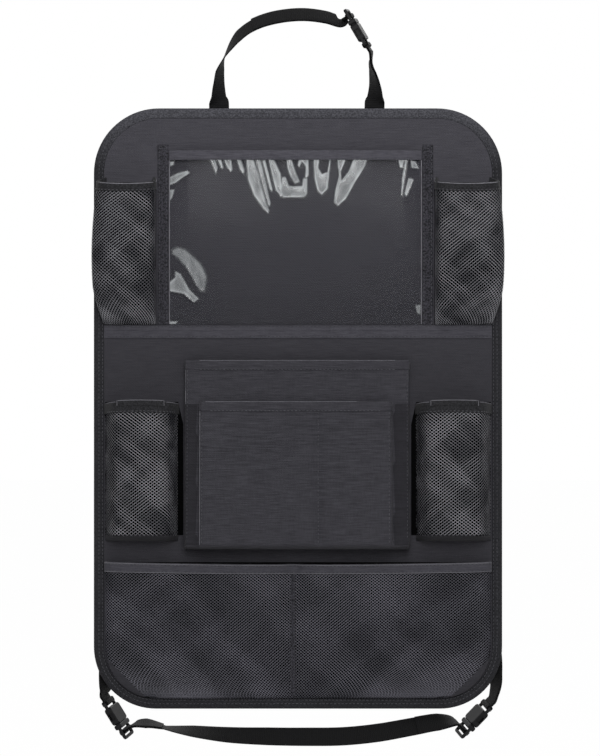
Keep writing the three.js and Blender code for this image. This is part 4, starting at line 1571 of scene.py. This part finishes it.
@dataclass
class LowerNet:
    """The wide net pocket along the bottom, sewn down at its middle."""

    high: float = -153.5
    mouth_depth: float = 15.0
    foot_depth: float = 6.0
    hem: float = 9.0
    cell: tuple[float, float] = (3.6, 3.0)  # real cells are about 3 mm wide, drawn coarser so that they show
    yarn: float = 0.25  # half of a yarn's thickness
    seam_x: float = -5.5
    seam_width: float = 5.5
    patch: tuple[float, float] = (193.5, -248.0)  # each corner patch's start, from the middle and in height
    patch_height: float = 40.0

    def corner_patch(self, form: PocketForm, way: int) -> tuple[Line, Faces]:
        """The cloth that strengthens one lower corner, cut off straight on its inner side.

        Args:
            form: The net's form.
            way: 1 for the right corner, -1 for the left one.

        Returns:
            The points and faces.
        """
        rings = []
        for i in range(21):
            drop = self.patch_height * i / 20
            z = self.patch[1] - drop
            edge = form.span(z)[1] - 0.3
            line = min(self.patch[0] - drop - 1.5, edge - 0.2)
            face = [form.on_face(way * blend_between(edge, line, k / 6), z, 0.6) for k in range(7)]
            rings.append(face + [p + Vector((0, 0.25, 0)) for p in face[::-1]])
        return sweep(rings)

    def build(self) -> None:
        """Make the net, its hem, the middle seam and their stitches."""
        radius = BOTTOM_CORNER - BINDING_COVER - GAP
        turn = BOTTOM_CORNER - TOP
        low = turn - radius
        seam = 0.5 + self.seam_x / (2 * INNER)
        half = (self.seam_width / 2 + 1.5) / (2 * INNER)

        def half_at(z: float) -> float:
            """Half the pocket's width at a height, which follows the mat's round corners."""
            down = min(max(turn - z, 0.0), radius)
            return INNER - radius + math.sqrt(max(radius**2 - down**2, 0.0)) - CLEAR

        form = PocketForm(
            low=low, high=self.high,
            plan=[(0, 0), (0, 0.3), (0.03, 0.8), (0.1, 1), (seam - 0.1, 1), (seam - 0.03, 0.7),
                  (seam - half, 0.35), (seam + half, 0.35), (seam + 0.03, 0.7), (seam + 0.1, 1), (0.9, 1),
                  (0.97, 0.8), (1, 0.3), (1, 0)],
            span=lambda z: (-half_at(z), half_at(z)),
            depth=lambda z: blend_between(self.foot_depth, self.mouth_depth, (z - low) / (self.high - low)),
            droop=lambda s: -2.5 * math.sin(math.pi * s), foot=4.0, columns=140, rows=50,
        )
        net = Net(form, *self.cell, self.yarn, self.hem - 1, nodes_per_step=2)
        netting = net.build("lower_netting", (Finish.FINE_NET_LEFT, Finish.FINE_NET_RIGHT))
        settle(netting, ["lower_net"])
        # Black sheets paint the shade inside the pocket, behind the net and at its ends.
        form.paint_shade_behind("lower_net_painted_shade_sheet")
        wall_shades = [form.shade_skin_inside(*share) for share in ((0.0, 0.05), (0.95, 1.0))]
        settle(new_piece("lower_net_wall_painted_shade", *gather(wall_shades), Finish.PAINTED_SHADE))
        patches = [self.corner_patch(form, way) for way in (-1, 1)]
        settle(new_piece("lower_corner_patches", *gather(patches), Finish.CLOTH))
        hem = new_piece("lower_net_hem", *form.band(self.hem, 1.0), Finish.HEM)
        settle(hem, ["lower_hem"])

        form.columns = 240
        line = form.ring(self.high - 20)
        sides = (self.seam_x - self.seam_width / 2, self.seam_x + self.seam_width / 2)
        start, end = (next(k for k, p in enumerate(line) if p.x > x) for x in sides)
        rings = []
        for i in range(41):
            z = low + 2 + (self.high - self.hem - GAP - low - 2) * i / 40
            outer = form.ring(z, CLEAR)[start : end + 1]
            inner = form.ring(z, GAP)[start : end + 1]
            rings.append(outer + inner[::-1])
        strip = new_piece("lower_seam_tape", *sweep(rings), Finish.TAPE)
        settle(strip, ["lower_seam"])
        seams = [
            (form.upright(self.seam_x - 1.6, CLEAR, low + 3, self.high - self.hem), FRONT),
            (form.upright(self.seam_x + 1.6, CLEAR, low + 3, self.high - self.hem), FRONT),
            (form.seam(self.high - self.hem + 1.3, CLEAR, 0.01, 0.99), FRONT),
            (form.seam(self.high - 1.0, CLEAR, 0.01, 0.99), FRONT),
        ]
        settle(stitched("lower_net_stitches", seams))
        # Pale strands along the hem's top and foot paint the highlights on its folds.
        folds = [(form.seam(self.high, CLEAR - 0.1, 0.01, 0.99), FRONT),
                 (form.seam(self.high - self.hem + 0.3, CLEAR - 0.1, 0.01, 0.99), FRONT)]
        settle(fold_lines("lower_hem_painted_fold_highlights", folds, radius=0.4))


@dataclass(frozen=True)
class BucklePlace:
    """Where a buckle lies: its origin, the way that its clip pulls out and the way that its width runs."""

    name: str
    at: tuple[float, float, float]
    pull: tuple[float, float, float]
    across: tuple[float, float, float]

    def frame(self) -> Matrix:
        """The buckle's own frame: Z along the pull, X across the webbing.

        Returns:
            The frame, in millimetres.
        """
        along = Vector(self.pull).normalized()
        wide = Vector(self.across)
        wide = (wide - along * wide.dot(along)).normalized()
        frame = Matrix((wide, along.cross(wide), along)).transposed().to_4x4()
        frame.translation = Vector(self.at)
        return frame


HEADREST = BucklePlace("headrest", (69, -14, TOP + 61), (-0.507, 0, 0.862), (0.15, 0.98, 0.09))
SEAT_LEFT = BucklePlace("seat_left", (13 - SIDE, 9, 7 - TOP), (0.525, 0, -0.851), (0.26, 0.95, 0.16))
SEAT_RIGHT = BucklePlace("seat_right", (SIDE - 14, 9, 3 - TOP), (-0.694, 0, -0.72), (0.22, -0.95, -0.21))


@dataclass
class Buckle:
    """A side release buckle: a socket on the short webbing and a clip on the long one."""

    place: BucklePlace
    nodes: dict[str, bpy.types.Object]
    edge: float = 0.35

    def build(self) -> None:
        """Finish the moulded socket and clip, and round their edges."""
        for half in ("socket", "clip"):
            piece = self.nodes[f"{self.place.name}_{half}"]
            piece.data.materials.clear()
            piece.data.materials.append(finish_of(Finish.PLASTIC))
            bevel = piece.modifiers.new("moulded_edges", "BEVEL")
            bevel.width = self.edge * MM
            bevel.segments = 2
            bevel.limit_method = "ANGLE"
            bevel.angle_limit = math.radians(40)
            bevel.harden_normals = False


@dataclass
class Station:
    """A point on a strap's way and the way that its width runs there."""

    point: Vector
    wide: Vector


def stations(*rows: tuple[float, ...]) -> list[Station]:
    """Make stations from plain numbers, each row a point and then the way that the width runs."""
    return [Station(Vector(row[:3]), Vector(row[3:])) for row in rows]


BAR_START = 33.6  # of the clip, from the buckle's origin
CLIP_BAR = 2.0
SOCKET_BAR = 2.4
FRAME_THICKNESS = 3.2
LAYER = 1.3  # thickness of the webbing
STEM = GAP + LAYER + 3.0


def stem_stations(place: BucklePlace, aside: bool, lead: float) -> list[Station]:
    """Three stations that lead a strap into a bar: one clear of it, its stem's end and the bar's side.

    Args:
        place: The buckle.
        aside: Whether the strap meets the bar from its side, as a clip's does.
        lead: How far the first station lies before the stem.

    Returns:
        The stations, the bar's side last.
    """
    frame = place.frame()
    wide = frame.to_3x3() @ Vector((1, 0, 0))
    middle = BAR_START + CLIP_BAR / 2
    found = []
    for by in (STEM - 0.5 + lead, STEM - 0.5, GAP + LAYER / 2):
        local = (0, FRAME_THICKNESS / 2 + by, middle) if aside else (0, 0, -by)
        found.append(Station(frame @ Vector(local), wide))
    return found


@dataclass
class Ribbon:
    """A run of webbing through stations, as flat layers with soft selvedges."""

    stations: list[Station]
    per_span: int = 8
    width: float = 20.0

    def frames(self) -> list[tuple[Vector, Vector, Vector, float]]:
        """Points along the strap, with its width's way, its face's way and the distance from its start.

        Returns:
            One row for each point.
        """
        points = [s.point for s in self.stations]
        ends = [points[0] * 2 - points[1], *points, points[-1] * 2 - points[-2]]
        line, wides = [], []
        for i in range(len(points) - 1):
            a, b, c, d = ends[i : i + 4]
            knots = [0.0]
            for p, q in ((a, b), (b, c), (c, d)):
                knots.append(knots[-1] + max((q - p).length, 1e-4) ** 0.5)
            steps = self.per_span + (1 if i == len(points) - 2 else 0)
            for k in range(steps):
                share = k / self.per_span
                t = knots[1] + (knots[2] - knots[1]) * share
                line.append(centripetal((a, b, c, d), knots, t))
                wides.append(self.stations[i].wide.lerp(self.stations[i + 1].wide, share))
        found = []
        distance = 0.0
        for i, p in enumerate(line):
            along = (line[min(i + 1, len(line) - 1)] - line[max(i - 1, 0)]).normalized()
            wide = (wides[i] - along * wides[i].dot(along)).normalized()
            if i:
                distance += (p - line[i - 1]).length
            found.append((p, wide, along.cross(wide), distance))
        return found

    def layer(self, offset: float, start: int = 0, end: int | None = None) -> Layer:
        """One layer of the webbing.

        Args:
            offset: How far its middle lies to the side of the strap's line.
            start: The first frame.
            end: One past the last frame.

        Returns:
            The points, the faces and each point's place along and across the webbing.
        """
        half, thick = self.width / 2, LAYER / 2 - 0.03
        section = [
            (-half, 0.0), (-half + 0.4, thick * 0.8), (-half + 1.2, thick), (-half * 0.4, thick),
            (half * 0.4, thick), (half - 1.2, thick), (half - 0.4, thick * 0.8), (half, 0.0),
            (half - 0.4, -thick * 0.8), (half - 1.2, -thick), (half * 0.4, -thick),
            (-half * 0.4, -thick), (-half + 1.2, -thick), (-half + 0.4, -thick * 0.8),
        ]
        rings, places = [], []
        for p, wide, up, distance in self.frames()[start:end]:
            rings.append([p + wide * s + up * (t + offset) for s, t in section])
            places.extend((distance, s) for s, _ in section)
        points, faces = sweep(rings)
        return points, faces, places


def centripetal(points: Sequence[Vector], knots: Sequence[float], t: float) -> Vector:
    """A point of the centripetal curve through four points, between the middle two.

    Args:
        points: The four points.
        knots: The curve's parameter at each of them.
        t: The parameter asked for.

    Returns:
        The point.
    """
    first = [points[i].lerp(points[i + 1], (t - knots[i]) / (knots[i + 1] - knots[i])) for i in range(3)]
    second = [first[i].lerp(first[i + 1], (t - knots[i]) / (knots[i + 2] - knots[i])) for i in range(2)]
    return second[0].lerp(second[1], (t - knots[1]) / (knots[2] - knots[1]))


def bar_turn(place: BucklePlace, z0: float, z1: float) -> Layer:
    """The turn of webbing round a buckle's bar, between two heights in the buckle's frame.

    Args:
        place: The buckle.
        z0: The bar's lower side.
        z1: The bar's upper side.

    Returns:
        The turn's points, faces and places on the webbing.
    """
    frame = place.frame()
    half_y, half_z, middle = FRAME_THICKNESS / 2, (z1 - z0) / 2, (z0 + z1) / 2
    rings, places = [], []
    for sy, sz, start in ((1, 1, 0), (-1, 1, 90), (-1, -1, 180), (1, -1, 270)):
        for k in range(5):
            angle = math.radians(start + 90 * k / 4)
            ring = []
            for x, out in ((-10, GAP), (10, GAP), (10, GAP + LAYER), (-10, GAP + LAYER)):
                y = sy * half_y + out * math.cos(angle)
                z = middle + sz * half_z + out * math.sin(angle)
                ring.append(frame @ Vector((x, y, z)))
                places.append((len(rings) * 0.9, x))
            rings.append(ring)
    points, faces = sweep(rings, closed=True)
    return points, faces, places


def strap_piece(name: str, parts: Sequence[Layer]) -> bpy.types.Object:
    """Make a strap from its layers and turns, with a UV map in millimetres along and across it.

    Args:
        name: The piece's name.
        parts: Its layers and turns.

    Returns:
        The piece.
    """
    points, faces = gather([(p, f) for p, f, _ in parts])
    places = [place for _, _, some in parts for place in some]
    piece = new_piece(name, points, faces, Finish.WEBBING)
    layer = piece.data.uv_layers.new(name="webbing")
    for loop in piece.data.loops:
        layer.data[loop.index].uv = places[loop.vertex_index]
    return piece


@dataclass
class Straps:
    """The webbing round the headrest and the seat."""

    root_y: float = GAP + LAYER
    root_low: float = TOP - BINDING_COVER + GAP

    def headrest_stations(self) -> list[Station]:
        """The way of the headrest strap, from its root at the upper left to the clip's bar.

        Returns:
            Its stations.
        """
        y = self.root_y
        way = stations(
            (-79, y, self.root_low, 1, 0, 0), (-79, y, TOP + 4, 1, 0, 0),
            (-79.6, y - 1, TOP + 12, 0.72, 0.69, 0), (-79.5, 0, TOP + 26, 0.5, 0.86, 0),
            (-78.5, -3, TOP + 38, 0.35, 0.94, 0), (-75.5, -6, TOP + 48, 0, 1, 0),
            (-68, -10, TOP + 61, -0.2, 0.9, 0.25), (-59, -14, TOP + 72, -0.35, 0.8, 0.4),
            (-45, -18, TOP + 81.5, -0.2, 0.76, 0.6), (-24, -20, TOP + 88.5, -0.1, 0.74, 0.67),
            (4, -21, TOP + 91.5, 0, 0.74, 0.67), (28, -19, TOP + 89, 0.05, 0.76, 0.65),
            (40, -16, TOP + 85.8, 0.05, 0.78, 0.62),
        )
        return way + stem_stations(HEADREST, True, 2)

    def seat_stations(self) -> list[Station]:
        """The way of the seat strap, from the left clip's bar to the right one's.

        Returns:
            Its stations.
        """
        right = [Station(s.point, -s.wide) for s in stem_stations(SEAT_RIGHT, True, 6)]
        way = stations(
            (-0.745 * SIDE, 6, -TOP - 15.5, 0, 0.95, 0.3), (-0.652 * SIDE, 5, -TOP - 19, 0, 1, 0.06),
            (-0.515 * SIDE, 3, -TOP - 22.5, 0, 0.85, 0.45), (-0.343 * SIDE, 1, -TOP - 26, 0, 0.7, 0.7),
            (-0.147 * SIDE, 0, -TOP - 27.5, 0, 0.55, 0.83), (0.049 * SIDE, 0, -TOP - 28, 0, 0.5, 0.87),
            (0.221 * SIDE, 0, -TOP - 27.5, 0, 0.5, 0.87), (0.392 * SIDE, 0, -TOP - 24, 0, 0.5, 0.87),
            (0.564 * SIDE, 2, -TOP - 18, 0, 0.55, 0.83), (0.686 * SIDE, 4, -TOP - 14, 0, 0.65, 0.76),
        )
        return stem_stations(SEAT_LEFT, True, 6)[::-1] + way + right

    def tabs(self) -> dict[str, tuple[BucklePlace, list[Station]]]:
        """Each short webbing's way from its root to its socket's bar.

        Returns:
            The buckle and the stations of each, by name.
        """
        y = self.root_y
        top = stations(
            (76.6, y, self.root_low, -1, 0, 0), (76.6, y, TOP + 4, -1, 0, 0),
            (77, y - 1, TOP + 12, -0.72, 0.69, 0), (76.8, 0, TOP + 24, -0.45, 0.89, 0),
            (75, -4, TOP + 36, -0.2, 0.97, 0), (73.2, -10, TOP + 45, 0.02, 1, 0),
        )
        left = stations(
            (16 - SIDE, y, 62 - TOP, 1, 0, 0), (15.7 - SIDE, y + 0.5, 49 - TOP, 1, 0, 0),
            (14 - SIDE, y + 5, 35 - TOP, 0.92, 0.39, 0), (11 - SIDE, y + 7, 19 - TOP, 0.5, 0.86, 0.05),
        )
        right = stations(
            (SIDE - 11.5, y, 76 - TOP, 1, 0, 0), (SIDE - 10.8, y + 0.5, 62 - TOP, 1, 0, 0),
            (SIDE - 9, y + 5, 48 - TOP, 0.93, -0.37, 0), (SIDE - 7, y + 7, 36 - TOP, 0.7, -0.7, 0),
            (SIDE - 5.5, y + 8, 23 - TOP, 0.45, -0.9, 0), (SIDE - 7.5, y + 7.5, 13 - TOP, 0.3, -0.94, -0.1),
        )
        places = {"top": (HEADREST, top), "left": (SEAT_LEFT, left), "right": (SEAT_RIGHT, right)}
        return {name: (place, way + stem_stations(place, False, 3)) for name, (place, way) in places.items()}

    def build(self) -> None:
        """Make the three short tabs, the headrest strap and the two halves of the seat strap."""
        near, far = -LAYER / 2, LAYER / 2 + 0.05
        for name, (place, way) in self.tabs().items():
            ribbon = Ribbon(way)
            turn = bar_turn(place, 0.0, SOCKET_BAR)
            tab = strap_piece(f"tab_webbing_{name}", [ribbon.layer(near), ribbon.layer(far), turn])
            settle(tab, [f"strap_tab_{name}"])

        ribbon = Ribbon(self.headrest_stations())
        tail_frame = 8 * ribbon.per_span
        turn = bar_turn(HEADREST, BAR_START, BAR_START + CLIP_BAR)
        strap = strap_piece("headrest_webbing", [ribbon.layer(near), ribbon.layer(far, tail_frame), turn])
        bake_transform(strap)
        settle(strap, ["headrest_strap"], body="")

        ribbon = Ribbon(self.seat_stations())
        span = ribbon.per_span
        middle = 8 * span
        left = [
            ribbon.layer(near, 0, middle + 1), ribbon.layer(far, 0, 4 * span),
            bar_turn(SEAT_LEFT, BAR_START, BAR_START + CLIP_BAR),
        ]
        right = [
            ribbon.layer(near, middle), ribbon.layer(far, len(ribbon.frames()) - 4 * span),
            bar_turn(SEAT_RIGHT, BAR_START, BAR_START + CLIP_BAR),
        ]
        halves = (("left", left, ribbon.stations[0].point), ("right", right, ribbon.stations[-1].point))
        for name, parts, end in halves:
            half = strap_piece(f"seat_webbing_{name}", parts)
            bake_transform(half)
            settle(half, ["seat_strap"], body="")


@dataclass
class Studio:
    """A white room with a pale floor, a key light in front and above, and a camera square to the mat."""

    floor_z: float = -0.46
    floor_reach: float = 12.0
    floor_glow: float = 0.99  # share of white where the floor is seen, the rest shows the shadow
    camera_distance: float = 3.15
    lens: float = 150.0
    aim: tuple[float, float] = (0.002, 0.0305)
    ambient: float = 0.2

    def world(self) -> None:
        """Make the world: white where it is seen, plain light elsewhere."""
        world = bpy.data.worlds.new("studio")
        bpy.context.scene.world = world
        world.use_nodes = True
        tree = world.node_tree
        tree.nodes.clear()
        light = add_node(tree, "ShaderNodeBackground", {"Color": (1, 1, 1, 1), "Strength": self.ambient})
        white = add_node(tree, "ShaderNodeBackground", {"Color": (1, 1, 1, 1), "Strength": 1.0})
        mix = add_node(tree, "ShaderNodeMixShader", {
            0: seen_share(tree), 1: light.outputs["Background"], 2: white.outputs["Background"],
        })
        add_node(tree, "ShaderNodeOutputWorld", {"Surface": mix.outputs["Shader"]})

    def floor(self) -> None:
        """Make the pale floor, which keeps the object's shadow."""
        mesh = bpy.data.meshes.new("floor")
        reach = self.floor_reach
        corners = [(sx * reach, sy * reach, self.floor_z) for sx, sy in ((-1, -1), (1, -1), (1, 1), (-1, 1))]
        mesh.from_pydata(corners, [], [(0, 1, 2, 3)])
        material, tree = blank_material("white_floor")
        matt = add_node(tree, "ShaderNodeBsdfDiffuse", {"Color": linear("f4f4f4")})
        glow = add_node(tree, "ShaderNodeEmission", {"Color": (1, 1, 1, 1), "Strength": 1.0})
        share = add_node(tree, "ShaderNodeMath", {0: seen_share(tree), 1: self.floor_glow},
                         operation="MULTIPLY")
        mix = add_node(tree, "ShaderNodeMixShader", {
            0: share.outputs[0], 1: matt.outputs["BSDF"], 2: glow.outputs["Emission"],
        })
        add_node(tree, "ShaderNodeOutputMaterial", {"Surface": mix.outputs["Shader"]})
        mesh.materials.append(material)
        floor = bpy.data.objects.new("floor", mesh)
        bpy.context.scene.collection.objects.link(floor)

    def lamp(self, name: str, at: tuple[float, float, float], size: float, power: float,
             target: tuple[float, float, float] = (0.0, 0.0, 0.0)) -> None:
        """Add a square area lamp that faces a point.

        Args:
            name: The lamp's name.
            at: Its place in metres.
            size: Its side in metres.
            power: Its power in watts.
            target: What it faces.
        """
        data = bpy.data.lights.new(name, "AREA")
        data.shape = "SQUARE"
        data.size = size
        data.energy = power
        lamp = bpy.data.objects.new(name, data)
        lamp.location = at
        lamp.rotation_euler = (Vector(target) - Vector(at)).to_track_quat("-Z", "Y").to_euler()
        bpy.context.scene.collection.objects.link(lamp)

    def camera(self) -> None:
        """Place the camera square to the mat, so that one pixel of the photo's frame is a millimetre."""
        data = bpy.data.cameras.new("camera")
        data.lens = self.lens
        data.sensor_width = 36.0
        camera = bpy.data.objects.new("camera", data)
        camera.location = (self.aim[0], -self.camera_distance, self.aim[1])
        camera.rotation_euler = (math.radians(90), 0, 0)
        bpy.context.scene.collection.objects.link(camera)
        bpy.context.scene.camera = camera

    def build(self) -> None:
        """Make the room, its lights and the camera."""
        scene = bpy.context.scene
        scene.view_settings.view_transform = "Standard"
        self.camera()
        self.world()
        self.floor()
        self.lamp("key", (0.15, -2.2, 0.85), 1.0, 28.0)
        self.lamp("top", (0.1, -0.8, 1.3), 0.6, 4.5, (0.0, 0.0, 0.2))
        self.lamp("back", (0.3, 1.8, 1.4), 1.0, 14.0)


def main() -> None:
    """Build the organizer piece by piece in a plain studio."""
    logging.basicConfig(level=logging.INFO, format="%(name)s: %(message)s")
    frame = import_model()
    Studio().build()
    MatSheet().build()
    TabletPocket().build()
    UpperNets().build()
    ClothPockets().build()
    SideNets().build()
    LowerNet().build()
    for place in (HEADREST, SEAT_LEFT, SEAT_RIGHT):
        Buckle(place, frame["nodes"]).build()
    Straps().build()


if __name__ == "__main__":
    main()
